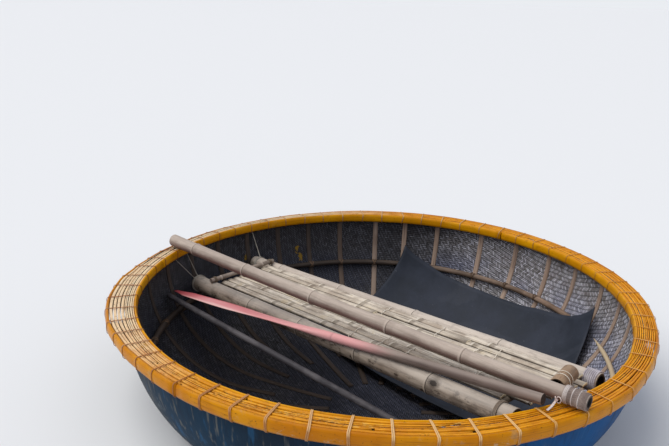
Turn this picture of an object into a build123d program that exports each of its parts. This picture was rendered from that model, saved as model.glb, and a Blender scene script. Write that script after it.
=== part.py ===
# Round woven basket boat (coracle): bowl hull, lashed strip rim, ribs, slung bamboo bench, poles, paddle and mat.
# Frame in millimetres: the origin is on the boat's axis at the waterline, +Z is up and +X runs along the bench.
from build123d import *
from math import atan2, cos, degrees, radians, sin, sqrt, tan
import os

os.makedirs("parts", exist_ok=True)

# Fits and clearances
seat_gap = 0.3  # between curved faces that touch
socket_clearance = 0.3  # round a rung in its bored socket

# Hull
freeboard = 380.0  # waterline to the top of the rim
hull_radius = 956.0  # outside of the woven wall under the rim
hull_depth = 570.0  # top of the rim to the outside of the floor
hull_wall = 10.0
floor_dish = 35.0  # how far the floor's middle lies below the lowest level of the full side arc
upright_height = 45.0  # the wall's upright stretch below the top of the rim
wall_edge_drop = 5.0  # trimmed edge of the weave below the top of the rim

# Rim: two bands with strips on edge packed between each band and the wall
ring_length_count = 3  # lengths that make up each band, strip and hoop
outer_band_thickness = 12.0
outer_band_height = 44.0
inner_band_thickness = 9.0
inner_band_height = 38.0
band_butt_gap = 6.0
outer_band_joint_azimuth = 279.5
inner_band_joint_azimuth = 96.0
strip_thickness = 6.6
strip_height = 28.0
strip_gap = 0.9
strip_butt_gap = 8.0
strip_joint_step = 43.0  # degrees from one strip's joints to the next one's
# Drop of each strip's top below the top of the rim, from the band in to the wall and from the wall in to the band
outer_strip_drops = (1.5, 3.0, 1.0, 3.5)
inner_strip_drops = (2.0, 1.0, 2.5)

# Cane lashings round the rim
lashing_width = 7.0
lashing_thickness = 1.8
# Azimuths that were set out by hand, and how many lashings go in even steps from each to the next
lashing_azimuth_marks = (250.9, 272.9, 297.6, 323.4, 354.7, 381.3, 432.2, 469.6, 526.2, 610.9)
lashing_counts = (4, 4, 4, 5, 4, 8, 6, 9, 14)

# Ribs and hoop
rib_width = 28.0
rib_thickness = 6.0
rib_count = 34
rib_first_azimuth = 41.1
rib_tuck = 8.0  # length hidden behind the inner band
long_rib_foot = 190.0  # distance of a rib's lower end from the axis
short_rib_foot = 420.0
# Degrees by which hand-laid ribs miss an even pitch: number of the rib, shift
rib_shifts = {1: -2.6, 2: -3.7, 3: -2.8, 4: -3.4, 5: -2.5, 6: -1.5, 7: 1.9, 8: 1.5, 9: 0.2, 10: 0.9, 11: 0.5}
hoop_diameter = 25.0
hoop_drop = 245.0  # top of the rim to the hoop's centre
hoop_butt_gap = 4.0
hoop_joint_azimuth = 70.0

# Bench: two bearers with rungs let into them, and split slats on the rungs
bench_slope = 4.9  # degrees, up towards +X
bench_drop = 113.0  # top of the rim to the bearers' plane at x = 0
near_bearer_diameter = 68.0
far_bearer_diameter = 60.0
bearer_wall = 9.0
near_bearer_y = -323.0
far_bearer_y = 38.0
# Left and right ends of each bearer: distance in from the rim's inside
near_bearer_gaps = (20.0, 21.0)
far_bearer_gaps = (11.0, 27.0)
# Nodes and rungs along a bearer, as shares of its length
near_bearer_node_shares = (0.262, 0.452, 0.641, 0.832)
far_bearer_node_shares = (0.124, 0.354, 0.591, 0.810)
rung_diameter = 22.0
rung_seat_depth = 40.0  # how far a rung goes into each bearer
rung_shares = (0.107, 0.358, 0.609, 0.810, 0.966)  # of the near bearer's length
slat_count = 9
slat_width = 29.5
slat_thickness = 8.0
slat_arch_radius = 42.0
slat_top = 30.0  # above the bearers' plane
slat_wall_gap = 9.0  # between a slat's right end and the rim's inside
# Extra length left off the right end of each slat, from the near one to the far one
slat_trims = (76.0, 12.0, 22.0, 6.0, 10.0, 0.0, 12.0, 3.0, 38.0)
left_bar_diameter = 20.0
left_bar_setback = 112.0  # from the near bearer's left end to the bar's middle
left_bar_skew = 8.0
left_bar_overhangs = (15.0, -4.0)  # past the near and the far bearer's middle
right_bar_diameter = 50.0
right_bar_length = 106.0
right_bar_setback = 20.0  # from the far bearer's right end to the bar's middle
right_bar_y = -115.0
right_bar_skew = 10.0
right_bar_wall = 6.0

# Slings that hang the bench from the wall under the rim
sling_cord = 5.0
sling_ring = 8.0  # the doubled turn round the bearer
sling_drop = 4.0  # below the inner band
# Distance of each sling's ring from the bearer's end, and the azimuths of its legs
sling_setbacks = {"near_left": 14.0, "far_left": 40.0, "near_right": 28.0, "far_right": 12.0}
sling_leg_azimuths = {"near_left": (207.5, 202.0), "far_left": (177.0,), "near_right": (333.0,), "far_right": (4.2,)}

# Punt pole across the rim
punt_diameters = (52.0, 44.0)  # at its left and right ends
punt_wall = 8.0
punt_heading = 6.594  # degrees from +X
punt_offset = 309.4  # from the boat's axis, towards the near side
punt_overhangs = (-38.2, 11.0)  # of its left and right ends past the rim's outside
punt_node_shares = (0.0860, 0.2558, 0.4518, 0.6371, 0.7910, 0.9320)  # of its length, from the left end
twine_diameter = 6.0
twine_turns = (28.0, 46.0, 53.0, 78.0)  # distance from the right end

# Bamboo nodes
node_rise = 1.8
node_half_width = 6.0

# Paddle
paddle_heading = 6.366  # degrees from +X
paddle_pitch = 6.676  # degrees, up towards its right end
paddle_offset = 376.1  # from the boat's axis, towards the near side
paddle_rise = 52.6  # its centre line above the near bearer's where they cross
paddle_overhangs = (-9.8, 31.0)  # of its tip and its right end past the rim's inside
paddle_shaft_diameter = 32.0
blade_length = 930.0
blade_root_flat = 0.4  # the blade's root is this much thinner than the shaft
# Blade sections: distance from the tip, width, thickness
blade_sections = ((0.0, 22.0, 6.0), (110.0, 70.0, 8.0), (330.0, 86.0, 10.0), (650.0, 56.0, 12.0))

# Spare pole in the bilge
spare_diameter = 24.0
spare_left_azimuth = 213.3
spare_left_drop = 177.0  # top of the rim to the end's centre
spare_left_reach = 9.5  # between the end's centre and the wall
spare_right_azimuth = 336.15
spare_right_reach = 16.4  # of its right end past the hoop's centre line

# Mat: azimuths of its corners, from the far left one round to the near left one, and their insets from the hull's
# outside, in plan
mat_thickness = 4.0
mat_corner_azimuths = (126.7, 55.9, 14.9, 165.4)
mat_corner_insets = (60.6, 47.9, 335.0, 361.8)
mat_far_edge_azimuth = 91.4
mat_far_edge_inset = 119.8

# Worked out from the sizes above
rim_top = freeboard
bilge_radius = hull_depth - upright_height - floor_dish
side_centre_r = hull_radius - bilge_radius
side_centre_z = rim_top - upright_height
floor_z = rim_top - hull_depth
floor_radius = bilge_radius + (side_centre_r ** 2 + floor_dish ** 2) / (2 * floor_dish)
floor_angle = degrees(atan2(side_centre_r, floor_radius - bilge_radius - floor_dish))
strip_pitch = strip_thickness + strip_gap
outer_pack = len(outer_strip_drops) * strip_pitch + strip_gap
inner_pack = len(inner_strip_drops) * strip_pitch + strip_gap
outer_band_in = hull_radius + outer_pack
rim_outside = outer_band_in + outer_band_thickness
wall_inside = hull_radius - hull_wall
inner_band_out = wall_inside - inner_pack
rim_inside = inner_band_out - inner_band_thickness
rib_inset = hull_wall + seat_gap
hoop_inset = rib_inset + rib_thickness + seat_gap + hoop_diameter / 2
mat_inset = hoop_inset + hoop_diameter / 2 + seat_gap
hoop_z = rim_top - hoop_drop
bench_height = rim_top - bench_drop


def export(shape, name):
    export_step(shape, "parts/" + name + ".step")


def polar(radius, azimuth):
    return radius * cos(radians(azimuth)), radius * sin(radians(azimuth))


def bowl_radius(z, inset):
    """Radius of the bowl's side at a height, for a surface this far inside the hull's outside."""
    rise = min(z - side_centre_z, 0.0)
    return side_centre_r + sqrt((bilge_radius - inset) ** 2 - rise ** 2)


def bowl_edges(inset, top):
    """Floor arc, side arc and upright line of the bowl, in the upright half plane."""
    floor = CenterArc((0, floor_z + floor_radius), floor_radius - inset, -90, floor_angle)
    side = CenterArc((side_centre_r, side_centre_z), bilge_radius - inset, floor_angle - 90, 90 - floor_angle)
    upright = Line(side @ 1, (hull_radius - inset, top))
    return floor, side, upright


def bowl_section(outer_inset, inner_inset, top):
    """Closed section between two surfaces that run parallel to the hull's outside."""
    outer = bowl_edges(outer_inset, top)
    inner = bowl_edges(inner_inset, top)
    axis_line = Line(outer[0] @ 0, inner[0] @ 0)
    top_line = Line(outer[2] @ 1, inner[2] @ 1)
    return Plane.XZ * make_face(Curve() + [*outer, top_line, *inner, axis_line])


def ring_section(inner_radius, thickness, top, height):
    middle = Pos(inner_radius + thickness / 2, 0, top - height / 2)
    return middle * (Plane.XZ * Rectangle(thickness, height))


def ring_lengths(section, radius, joint_azimuth, gap):
    """Equal lengths of a section bent round the boat, butted with a small gap at each joint."""
    step = 360 / ring_length_count
    gap_angle = degrees(gap / radius)
    starts = [joint_azimuth + gap_angle / 2 + n * step for n in range(ring_length_count)]
    return [revolve(Rot(0, 0, start) * section, Axis.Z, step - gap_angle) for start in starts]


def hull_shell():
    return revolve(bowl_section(0, hull_wall, rim_top - wall_edge_drop), Axis.Z)


def outer_rim_band():
    section = ring_section(outer_band_in, outer_band_thickness, rim_top, outer_band_height)
    return Compound(children=ring_lengths(section, rim_outside, outer_band_joint_azimuth, band_butt_gap))


def inner_rim_band():
    section = ring_section(rim_inside, inner_band_thickness, rim_top, inner_band_height)
    return Compound(children=ring_lengths(section, rim_inside, inner_band_joint_azimuth, band_butt_gap))


def rim_strips():
    """Split strips on edge, packed outside and inside the wall, each with its butts at other places."""
    outer = [(outer_band_in - (k + 1) * strip_pitch, drop) for k, drop in enumerate(outer_strip_drops)]
    inner = [(wall_inside - (k + 1) * strip_pitch, drop) for k, drop in enumerate(inner_strip_drops)]
    strips = []
    for number, (radius, drop) in enumerate(outer + inner):
        section = ring_section(radius, strip_thickness, rim_top - drop, strip_height)
        strips += ring_lengths(section, radius, number * strip_joint_step, strip_butt_gap)
    return Compound(children=strips)


def lashing_azimuths():
    """Even steps between the azimuths that were set out by hand."""
    azimuths = []
    for start, end, count in zip(lashing_azimuth_marks, lashing_azimuth_marks[1:], lashing_counts):
        azimuths += [start + (end - start) * k / count for k in range(count)]
    return azimuths


def lashing():
    """Cane bent over the rim: up one band, across the top, down the other band and in to the wall below each."""
    offset = seat_gap + lashing_thickness / 2
    outer_r = rim_outside + offset
    inner_r = rim_inside - offset
    path = Polyline((hull_radius + seat_gap, rim_top - outer_band_height - offset),
                    (outer_r, rim_top - outer_band_height - offset),
                    (outer_r, rim_top + offset),
                    (inner_r, rim_top + offset),
                    (inner_r, rim_top - inner_band_height - offset),
                    (wall_inside - rib_thickness - 2 * seat_gap, rim_top - inner_band_height - offset))
    section = Plane.XZ * trace(path, lashing_thickness)
    return extrude(section, lashing_width / 2, both=True)


def rim_lashings():
    one = lashing()
    return Compound(children=[Rot(0, 0, azimuth) * one for azimuth in lashing_azimuths()])


def rib(foot):
    """Flat split strip bent to the inside of the bowl, from under the rim to its foot on the floor."""
    top = rim_top - inner_band_height + rib_tuck
    section = bowl_section(rib_inset, rib_inset + rib_thickness, top)
    keep = Pos(foot + hull_radius / 2, 0, 0) * Box(hull_radius, 4 * rib_width, 2 * hull_depth)
    return extrude(section, rib_width / 2, both=True) & keep


def rib_azimuth(number):
    return rib_first_azimuth + number * 360 / rib_count + rib_shifts.get(number, 0.0)


def ribs():
    kinds = (rib(long_rib_foot), rib(short_rib_foot))
    return Compound(children=[Rot(0, 0, rib_azimuth(n)) * kinds[n % 2] for n in range(rib_count)])


def hoop_pole():
    """Bent pole that lies against the ribs all round the bowl."""
    radius = bowl_radius(hoop_z, hoop_inset)
    section = Pos(radius, 0, hoop_z) * (Plane.XZ * Circle(hoop_diameter / 2))
    return Compound(children=ring_lengths(section, radius, hoop_joint_azimuth, hoop_butt_gap))


def bamboo(length, diameters, nodes, wall):
    """Tapered bamboo pole along +X from the origin, ringed at its nodes and hollow at each end up to the first one."""
    def r(x):
        return (diameters[0] + (diameters[1] - diameters[0]) * x / length) / 2

    outline = [(0, 0), (0, r(0))]
    for x in nodes:
        before, after = x - node_half_width, x + node_half_width
        outline += [(before, r(before)), (x, r(x) + node_rise), (after, r(after))]
    outline += [(length, r(length)), (length, 0)]
    pole = revolve(make_face(Polyline(*outline, close=True)), Axis.X)
    for start, end in ((0, nodes[0] - node_half_width), (nodes[-1] + node_half_width, length)):
        hollow = Plane.YZ * extrude(Circle(min(r(start), r(end)) - wall), end - start)
        pole -= Pos(start, 0, 0) * hollow
    return pole


def along(start, end):
    """Frame at a start point with its +X towards an end point and its +Y level."""
    run = Vector(end) - Vector(start)
    level = Vector(-run.Y, run.X, 0)
    return Plane(origin=start, x_dir=run, z_dir=run.cross(level)).location


def distance(start, end):
    return (Vector(end) - Vector(start)).length


def rod(start, end, diameter):
    """Round rod between two points."""
    stick = Plane.YZ * extrude(Circle(diameter / 2), distance(start, end))
    return along(start, end) * stick


bench_frame = Pos(0, 0, bench_height) * Rot(0, -bench_slope, 0)


def bench_point(x, y, z):
    """A point of the bench, given in its sloping frame."""
    return (bench_frame * Pos(x, y, z)).position


def bearer_ends(y, gaps):
    """Ends of a bearer, set in from the rim's inside."""
    half_chord = sqrt(rim_inside ** 2 - y ** 2)
    return gaps[0] - half_chord, half_chord - gaps[1]


near_left, near_right = bearer_ends(near_bearer_y, near_bearer_gaps)
far_left, far_right = bearer_ends(far_bearer_y, far_bearer_gaps)


def rung_places():
    return [near_left + share * (near_right - near_left) for share in rung_shares]


def bearer(y, left, right, diameter, node_shares):
    nodes = [share * (right - left) for share in node_shares]
    pole = bamboo(right - left, (diameter, diameter), nodes, bearer_wall)
    for x in rung_places():
        pole -= Pos(x - left, -y, rung_z()) * rung_socket()
    return bench_frame * Pos(left, y, 0) * pole


def lath_height():
    inner_radius = slat_arch_radius - slat_thickness
    return slat_arch_radius - sqrt(inner_radius ** 2 - (slat_width / 2) ** 2)


def rung_z():
    """Height of the rungs' centres above the bearers' plane, so that the slats lie on them."""
    return slat_top - lath_height() - seat_gap - rung_diameter / 2


def rung_span(clearance):
    """Ends of a rung across the bench, each this far past its seat in a bearer."""
    near = near_bearer_y + near_bearer_diameter / 2 - rung_seat_depth - clearance
    far = far_bearer_y - far_bearer_diameter / 2 + rung_seat_depth + clearance
    return near, far


def rung_solid(diameter, clearance):
    near, far = rung_span(clearance)
    return Pos(0, (near + far) / 2, 0) * Rot(90, 0, 0) * Cylinder(diameter / 2, far - near)


def rung_socket():
    return rung_solid(rung_diameter + 2 * socket_clearance, socket_clearance)


def bench_rung(x):
    return bench_frame * Pos(x, 0, rung_z()) * rung_solid(rung_diameter, 0)


def slat_section():
    """Arched section of a split slat, its top at the slats' level."""
    arch = Circle(slat_arch_radius) - Circle(slat_arch_radius - slat_thickness)
    kept = Pos(0, slat_arch_radius) * Rectangle(slat_width, 2 * slat_arch_radius)
    return Plane.YZ * (Pos(0, slat_top - slat_arch_radius) * (arch & kept))


def left_bar_place(y):
    """The left bar's centre line, which lies askew on the bearers."""
    middle = (near_bearer_y + far_bearer_y) / 2
    return near_left + left_bar_setback - (y - middle) * sin(radians(left_bar_skew))


def bench_slat(number):
    start_y = near_bearer_y + near_bearer_diameter / 2
    free_width = far_bearer_y - far_bearer_diameter / 2 - start_y
    y = start_y + free_width * (number + 0.5) / slat_count
    reach = rim_inside - slat_wall_gap - slat_trims[number]
    edge = abs(y) + slat_width / 2
    start = left_bar_place(y) + left_bar_diameter / 2 + slat_width / 2 * sin(radians(left_bar_skew)) + seat_gap
    end = sqrt(reach ** 2 - edge ** 2)
    return bench_frame * Pos(start, y, 0) * extrude(slat_section(), end - start)


def bench_cross_bar_left():
    near = near_bearer_y - left_bar_overhangs[0]
    far = far_bearer_y + left_bar_overhangs[1]
    lift = seat_gap + left_bar_diameter / 2
    near_z, far_z = near_bearer_diameter / 2 + lift, far_bearer_diameter / 2 + lift
    ends = bench_point(left_bar_place(near), near, near_z), bench_point(left_bar_place(far), far, far_z)
    return rod(*ends, left_bar_diameter)


def bench_cross_bar_right():
    z = slat_top + seat_gap + right_bar_diameter / 2
    x = far_right - right_bar_setback
    reach_x = right_bar_length / 2 * sin(radians(right_bar_skew))
    reach_y = right_bar_length / 2 * cos(radians(right_bar_skew))
    start = bench_point(x + reach_x, right_bar_y - reach_y, z)
    end = bench_point(x - reach_x, right_bar_y + reach_y, z)
    bore = rod(start, end, right_bar_diameter - 2 * right_bar_wall)
    return rod(start, end, right_bar_diameter) - bore


def bench_sling(x, y, diameter, azimuths):
    """Cord ring round a bearer with a taut leg to the wall for each azimuth."""
    ring_r = diameter / 2 + seat_gap + sling_ring / 2
    sling = bench_frame * Pos(x, y, 0) * Rot(0, 90, 0) * Torus(ring_r, sling_ring / 2)
    z = rim_top - inner_band_height - sling_drop
    reach = wall_inside - seat_gap - sling_cord / 2
    for azimuth in azimuths:
        hook = (*polar(reach, azimuth), z)
        centre = bench_point(x, y, 0)
        bench_axis = bench_point(1, 0, 0) - bench_point(0, 0, 0)
        across = Vector(hook) - centre
        radial = (across - bench_axis * across.dot(bench_axis)).normalized()
        sling += rod(centre + radial * ring_r, hook, sling_cord)
    return sling


def across_boat(heading, offset, radius, overhangs):
    """Where a straight line across the boat ends: distances along it from its middle, and the points in plan."""
    half_chord = sqrt(radius ** 2 - offset ** 2)
    c, s = cos(radians(heading)), sin(radians(heading))
    ends = (-half_chord - overhangs[0], half_chord + overhangs[1])
    points = [(a * c + offset * s, a * s - offset * c) for a in ends]
    return ends, points


def punt_ends():
    """Ends of the pole's centre line: on the bands at the left, on its own twine at the right."""
    low = rim_top + seat_gap + punt_diameters[0] / 2
    high = rim_top + lashing_thickness + twine_diameter + 3 * seat_gap + punt_diameters[1] / 2
    left, right = across_boat(punt_heading, punt_offset, rim_outside, punt_overhangs)[1]
    return (*left, low), (*right, high)


def punt_pole():
    start, end = punt_ends()
    length = distance(start, end)
    nodes = [share * length for share in punt_node_shares]
    return along(start, end) * bamboo(length, punt_diameters, nodes, punt_wall)


def punt_pole_twine():
    start, end = punt_ends()
    ring = Torus(punt_diameters[1] / 2 + seat_gap + twine_diameter / 2, twine_diameter / 2)
    turns = [Pos(distance(start, end) - back, 0, 0) * Rot(0, 90, 0) * ring for back in twine_turns]
    return Compound(children=[along(start, end) * turn for turn in turns])


def paddle_ends():
    """Ends of the paddle's centre line, which lies across the near bearer."""
    ends, points = across_boat(paddle_heading, paddle_offset, rim_inside, paddle_overhangs)
    c, s = cos(radians(paddle_heading)), sin(radians(paddle_heading))
    crossing = (near_bearer_y + paddle_offset * c) / s
    x = crossing * c + paddle_offset * s
    level = bench_height + x * tan(radians(bench_slope)) + paddle_rise
    heights = [level + (a - crossing) * tan(radians(paddle_pitch)) for a in ends]
    return [(*point, height) for point, height in zip(points, heights)]


def paddle_blade():
    """Long lens-shaped blade that narrows into the shaft."""
    root = (blade_length, paddle_shaft_diameter, paddle_shaft_diameter - blade_root_flat)
    sections = [Plane.YZ.offset(x) * Ellipse(width / 2, depth / 2) for x, width, depth in (*blade_sections, root)]
    return along(*paddle_ends()) * loft(sections)


def paddle_shaft():
    tip, end = paddle_ends()
    stick = Plane.YZ * extrude(Circle(paddle_shaft_diameter / 2), distance(tip, end) - blade_length)
    return along(tip, end) * Pos(blade_length, 0, 0) * stick


def spare_pole():
    """Thin pole with its left end against the wall and its right end on the hoop."""
    z = rim_top - spare_left_drop
    left = polar(bowl_radius(z, hull_wall) - spare_left_reach, spare_left_azimuth)
    right = polar(bowl_radius(hoop_z, hoop_inset) + spare_right_reach, spare_right_azimuth)
    over_hoop = hoop_z + hoop_diameter / 2 + seat_gap + spare_diameter / 2
    return rod((*left, z), (*right, over_hoop), spare_diameter)


def floor_mat():
    """Flexible mat that lies over the hoop and down on the floor, its far edge bowed in plan."""
    sheet = revolve(bowl_section(mat_inset, mat_inset + mat_thickness, rim_top), Axis.Z)
    corners = [polar(hull_radius - inset, a) for a, inset in zip(mat_corner_azimuths, mat_corner_insets)]
    middle = polar(hull_radius - mat_far_edge_inset, mat_far_edge_azimuth)
    far_edge = ThreePointArc(corners[0], middle, corners[1])
    other_edges = Polyline(*corners[1:], corners[0])
    outline = make_face(Curve() + [far_edge, other_edges])
    cutter = Pos(0, 0, floor_z) * extrude(outline, hull_depth)
    return sheet & cutter


# End of the bearer at each corner of the bench, and which way along x is inward
sling_corners = {"near_left": (near_left, 1), "far_left": (far_left, 1),
                 "near_right": (near_right, -1), "far_right": (far_right, -1)}
bearers = {"near": (near_bearer_y, near_bearer_diameter), "far": (far_bearer_y, far_bearer_diameter)}

export(hull_shell(), "hull_shell")
export(outer_rim_band(), "outer_rim_band")
export(inner_rim_band(), "inner_rim_band")
export(rim_strips(), "rim_strips")
export(rim_lashings(), "rim_lashings")
export(ribs(), "ribs")
export(hoop_pole(), "hoop_pole")
near_bearer = bearer(near_bearer_y, near_left, near_right, near_bearer_diameter, near_bearer_node_shares)
far_bearer = bearer(far_bearer_y, far_left, far_right, far_bearer_diameter, far_bearer_node_shares)
export(near_bearer, "bench_bearer_near")
export(far_bearer, "bench_bearer_far")
for number, place in enumerate(rung_places(), 1):
    export(bench_rung(place), "bench_rung_" + str(number))
for number in range(slat_count):
    export(bench_slat(number), "bench_slat_" + str(number + 1))
export(bench_cross_bar_left(), "bench_cross_bar_left")
export(bench_cross_bar_right(), "bench_cross_bar_right")
for corner, (x, inward) in sling_corners.items():
    y, diameter = bearers[corner.split("_")[0]]
    sling = bench_sling(x + inward * sling_setbacks[corner], y, diameter, sling_leg_azimuths[corner])
    export(sling, "bench_sling_" + corner)
export(punt_pole(), "punt_pole")
export(punt_pole_twine(), "punt_pole_twine")
export(paddle_blade(), "paddle_blade")
export(paddle_shaft(), "paddle_shaft")
export(spare_pole(), "spare_pole")
export(floor_mat(), "floor_mat")
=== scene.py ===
import random
from math import asin, atan2, cos, degrees, hypot, pi, radians, sin, sqrt, tau

import bmesh
import bpy
from mathutils import Matrix, Vector, noise


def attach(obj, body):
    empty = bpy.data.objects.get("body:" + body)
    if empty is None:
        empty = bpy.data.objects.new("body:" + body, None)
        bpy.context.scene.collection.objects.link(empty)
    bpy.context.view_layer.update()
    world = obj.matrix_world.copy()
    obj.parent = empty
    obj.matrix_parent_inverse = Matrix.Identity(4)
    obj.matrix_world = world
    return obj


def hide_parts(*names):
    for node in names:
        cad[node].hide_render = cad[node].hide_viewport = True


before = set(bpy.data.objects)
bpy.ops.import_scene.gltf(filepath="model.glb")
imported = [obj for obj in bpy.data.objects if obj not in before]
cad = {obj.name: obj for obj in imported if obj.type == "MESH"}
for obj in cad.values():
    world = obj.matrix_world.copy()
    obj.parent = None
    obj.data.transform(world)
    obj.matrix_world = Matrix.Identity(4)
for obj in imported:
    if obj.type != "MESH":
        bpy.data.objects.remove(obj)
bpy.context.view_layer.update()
chance = random.Random(11)

# Hull, in metres: the bowl's section is a floor arc, a side arc and a short upright
HULL_RADIUS = 0.956
WALL = 0.010
BILGE_RADIUS = 0.490
SIDE_CENTRE_R = 0.466
SIDE_CENTRE_Z = 0.335
FLOOR_Z = -0.190
FLOOR_RADIUS = 3.60973
FLOOR_ANGLE = atan2(0.466, 3.08473)
WEAVE_WIDTH = 0.0078
WEAVE_TURN = radians(33.0)

# Rim
RIM_TOP = 0.380
RIM_OUTSIDE = 0.9989
OUTER_BAND_IN = 0.9869
INNER_BAND_OUT = 0.9226
RIM_INSIDE = 0.9136
BAND_GAP = 0.006
OUTER_JOINT = 279.5
INNER_JOINT = 96.0
RING_LENGTHS = 3
CANE_THICKNESS = 0.0018
# Azimuths of the lashings that are given one by one, and how many go in even steps from each to the next
LASHING_MARKS = (250.9, 272.9, 297.6, 323.4, 354.7, 381.3, 432.2, 469.6, 526.2, 610.9)
LASHING_COUNTS = (4, 4, 4, 5, 4, 8, 6, 9, 14)

# How far the hand-made rim strays from a circle, in millimetres, as seen in the photograph:
# azimuth, shift outwards of its outer edge, of its inner edge, and how far its outer edge hangs lower
RIM_STRAY = ((0, 11, 19, 0), (10, 2, 12, 0), (20, -3, 3, 0), (30, -6, 0, 0), (40, -3, 0, 0), (50, -2, 0, 0),
             (60, 0, 0, 0), (120, 0, 0, 0), (140, 0, 0, 2), (160, 0, 0, 8), (180, 0, 0, 12), (200, 0, 0, 12),
             (215, 0, 0, 6), (222, 2, 0, 0), (230, 18, 0, 0), (240, 24, 0, 0), (250, 22, 0, 0),
             (260, 10, 0, 0), (270, 1, 0, 0), (280, 0, 0, 0), (310, 0, 0, 0), (320, 6, 6, 0),
             (330, 14, 12, 0), (340, 12, 13, 0), (350, 13, 16, 0), (360, 11, 19, 0))

# Ribs and the pole bent round them, which is open between its end and its start
RIB_COUNT = 34
RIB_FIRST = 41.1
RIB_SHIFTS = {1: -2.6, 2: -3.7, 3: -2.8, 4: -3.4, 5: -2.5, 6: -1.5, 7: 1.9, 8: 1.5, 9: 0.2, 10: 0.9, 11: 0.5}
RIB_INSET = 0.0103
RIB_STEPS = 44
HOOP_Z = 0.135
HOOP_RADIUS = 0.0125
HOOP_INSET = 0.0291
HOOP_START = 60.0
HOOP_END = 412.0
HOOP_STEPS = 200

# Bench: along it, across it and above its bearers' plane. A bearer is its start, end, place across and radius
BENCH_HEIGHT = 0.267
BENCH_SLOPE = radians(4.9)
BENCH_RUN = Vector((cos(BENCH_SLOPE), 0.0, sin(BENCH_SLOPE)))
NEAR_BEARER = (-0.8346, 0.8550, -0.323, 0.034)
FAR_BEARER = (-0.9018, 0.9050, 0.038, 0.030)
NEAR_NODES = (-0.3975, -0.0806, 0.2347, 0.5533)
FAR_NODES = (-0.6801, -0.2690, 0.1547, 0.5462)
BEARER_WALL = 0.009
RUNG_COUNT = 5
SLAT_WIDTH = 0.0295
SLAT_SPREAD = 1.06
SLAT_PITCH = 0.033
SLATS_START = -0.289
SLAT_TOP = 0.030
SLAT_FALL = 0.0048
SLAT_TRIMS = (0.076, 0.012, 0.022, 0.006, 0.010, 0.0, 0.012, 0.003, 0.038)
SLAT_REACH = 0.9046
SLAT_STATION = 0.05
# Laps where a slat is made up of two lengths: number of the slat, and where along the bench
SLAT_LAPS = {1: 0.572, 4: 0.30, 6: 0.02, 7: 0.44}
# Thin ties over the slats: from and to, along the bench and across it
SLAT_TIES = (((0.150, -0.300), (0.123, -0.212)), ((0.278, -0.291), (0.262, -0.203)),
             ((0.079, -0.066), (0.070, 0.004)), ((0.397, -0.296), (0.384, -0.214)),
             ((0.366, -0.116), (0.344, -0.014)), ((0.644, -0.247), (0.637, -0.206)),
             ((0.622, -0.117), (0.594, -0.022)), ((0.542, -0.105), (0.540, -0.072)))
LEFT_BAR_X = -0.7226
LEFT_BAR_Y = -0.1425
LEFT_BAR_SKEW = sin(radians(8.0))
LEFT_BAR_CLEAR = 0.0103
HOOK_RADIUS = 0.9432
HOOK_Z = 0.338

# Poles and paddle
PUNT_START = Vector((-0.870, -0.412, 0.4063))
PUNT_END = Vector((0.990, -0.197, 0.4107))
PUNT_NODES = (0.161, 0.479, 0.846, 1.193, 1.481)
PADDLE_START = Vector((-0.776, -0.465, 0.2123))
PADDLE_END = Vector((0.900, -0.278, 0.4097))
BLADE_LENGTH = 0.930
# Distance from the blade's tip, width and thickness there
BLADE_SECTIONS = ((0.0, 0.022, 0.006), (0.11, 0.066, 0.008), (0.33, 0.078, 0.010), (0.65, 0.044, 0.012),
                  (0.93, 0.032, 0.0316))
BLADE_ROLL = radians(9.0)
BLADE_STATION = 0.015

# Mat: its corners in plan, the bow of its far edge, and its least distance from the hull's outside
MAT_FAR = (Vector((-0.535, 0.718)), Vector((0.505, 0.744)))
MAT_NEAR = (Vector((-0.575, 0.150)), Vector((0.600, 0.160)))
MAT_BOW = 0.101
MAT_INSET = 0.0419


# Small tools

def tone(code):
    """A colour as it is seen, written as six hex digits, in the linear values that shaders take."""
    parts = [int(code[n:n + 2], 16) / 255 for n in (0, 2, 4)]
    return [c / 12.92 if c <= 0.04045 else ((c + 0.055) / 1.055) ** 2.4 for c in parts] + [1.0]


def polar(radius, azimuth, height):
    return Vector((radius * cos(azimuth), radius * sin(azimuth), height))


def around(azimuth):
    """Directions outwards from the boat's axis, and round it."""
    return polar(1.0, azimuth, 0), Vector((-sin(azimuth), cos(azimuth), 0))


def bowl_radius(height, inset):
    """Radius of the bowl's side at a height, for a surface this far inside the hull's outside."""
    rise = min(height - SIDE_CENTRE_Z, 0.0)
    return SIDE_CENTRE_R + sqrt((BILGE_RADIUS - inset) ** 2 - rise ** 2)


def bowl_height(radius, inset):
    """Height of the bowl at a distance from the axis, for a surface this far inside the hull's outside."""
    if radius < (FLOOR_RADIUS - inset) * sin(FLOOR_ANGLE):
        return FLOOR_Z + FLOOR_RADIUS - sqrt((FLOOR_RADIUS - inset) ** 2 - radius ** 2)
    reach = min(radius - SIDE_CENTRE_R, (BILGE_RADIUS - inset) * 0.9995)
    return SIDE_CENTRE_Z - sqrt((BILGE_RADIUS - inset) ** 2 - reach ** 2)


def bench_point(x, y, height):
    """A point on the sloping bench: along it, across it and above its bearers' plane."""
    return Vector((x * cos(BENCH_SLOPE) - height * sin(BENCH_SLOPE), y,
                   BENCH_HEIGHT + x * sin(BENCH_SLOPE) + height * cos(BENCH_SLOPE)))


def wander(place, speed, seed):
    """Smooth unevenness between -1 and 1 that goes with the place."""
    return noise.noise(Vector(place) * speed + Vector((seed * 7.3, seed * 3.1, seed * 5.7)))


def eased(share):
    return share * share * (3 - 2 * share)


def add_object(name, data):
    item = bpy.data.objects.new(name, data)
    bpy.context.scene.collection.objects.link(item)
    return item


def add_mesh(bm, name, finish):
    mesh = bpy.data.meshes.new(name)
    bm.to_mesh(mesh)
    bm.free()
    mesh.materials.append(finish)
    return add_object(name, mesh)


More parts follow.
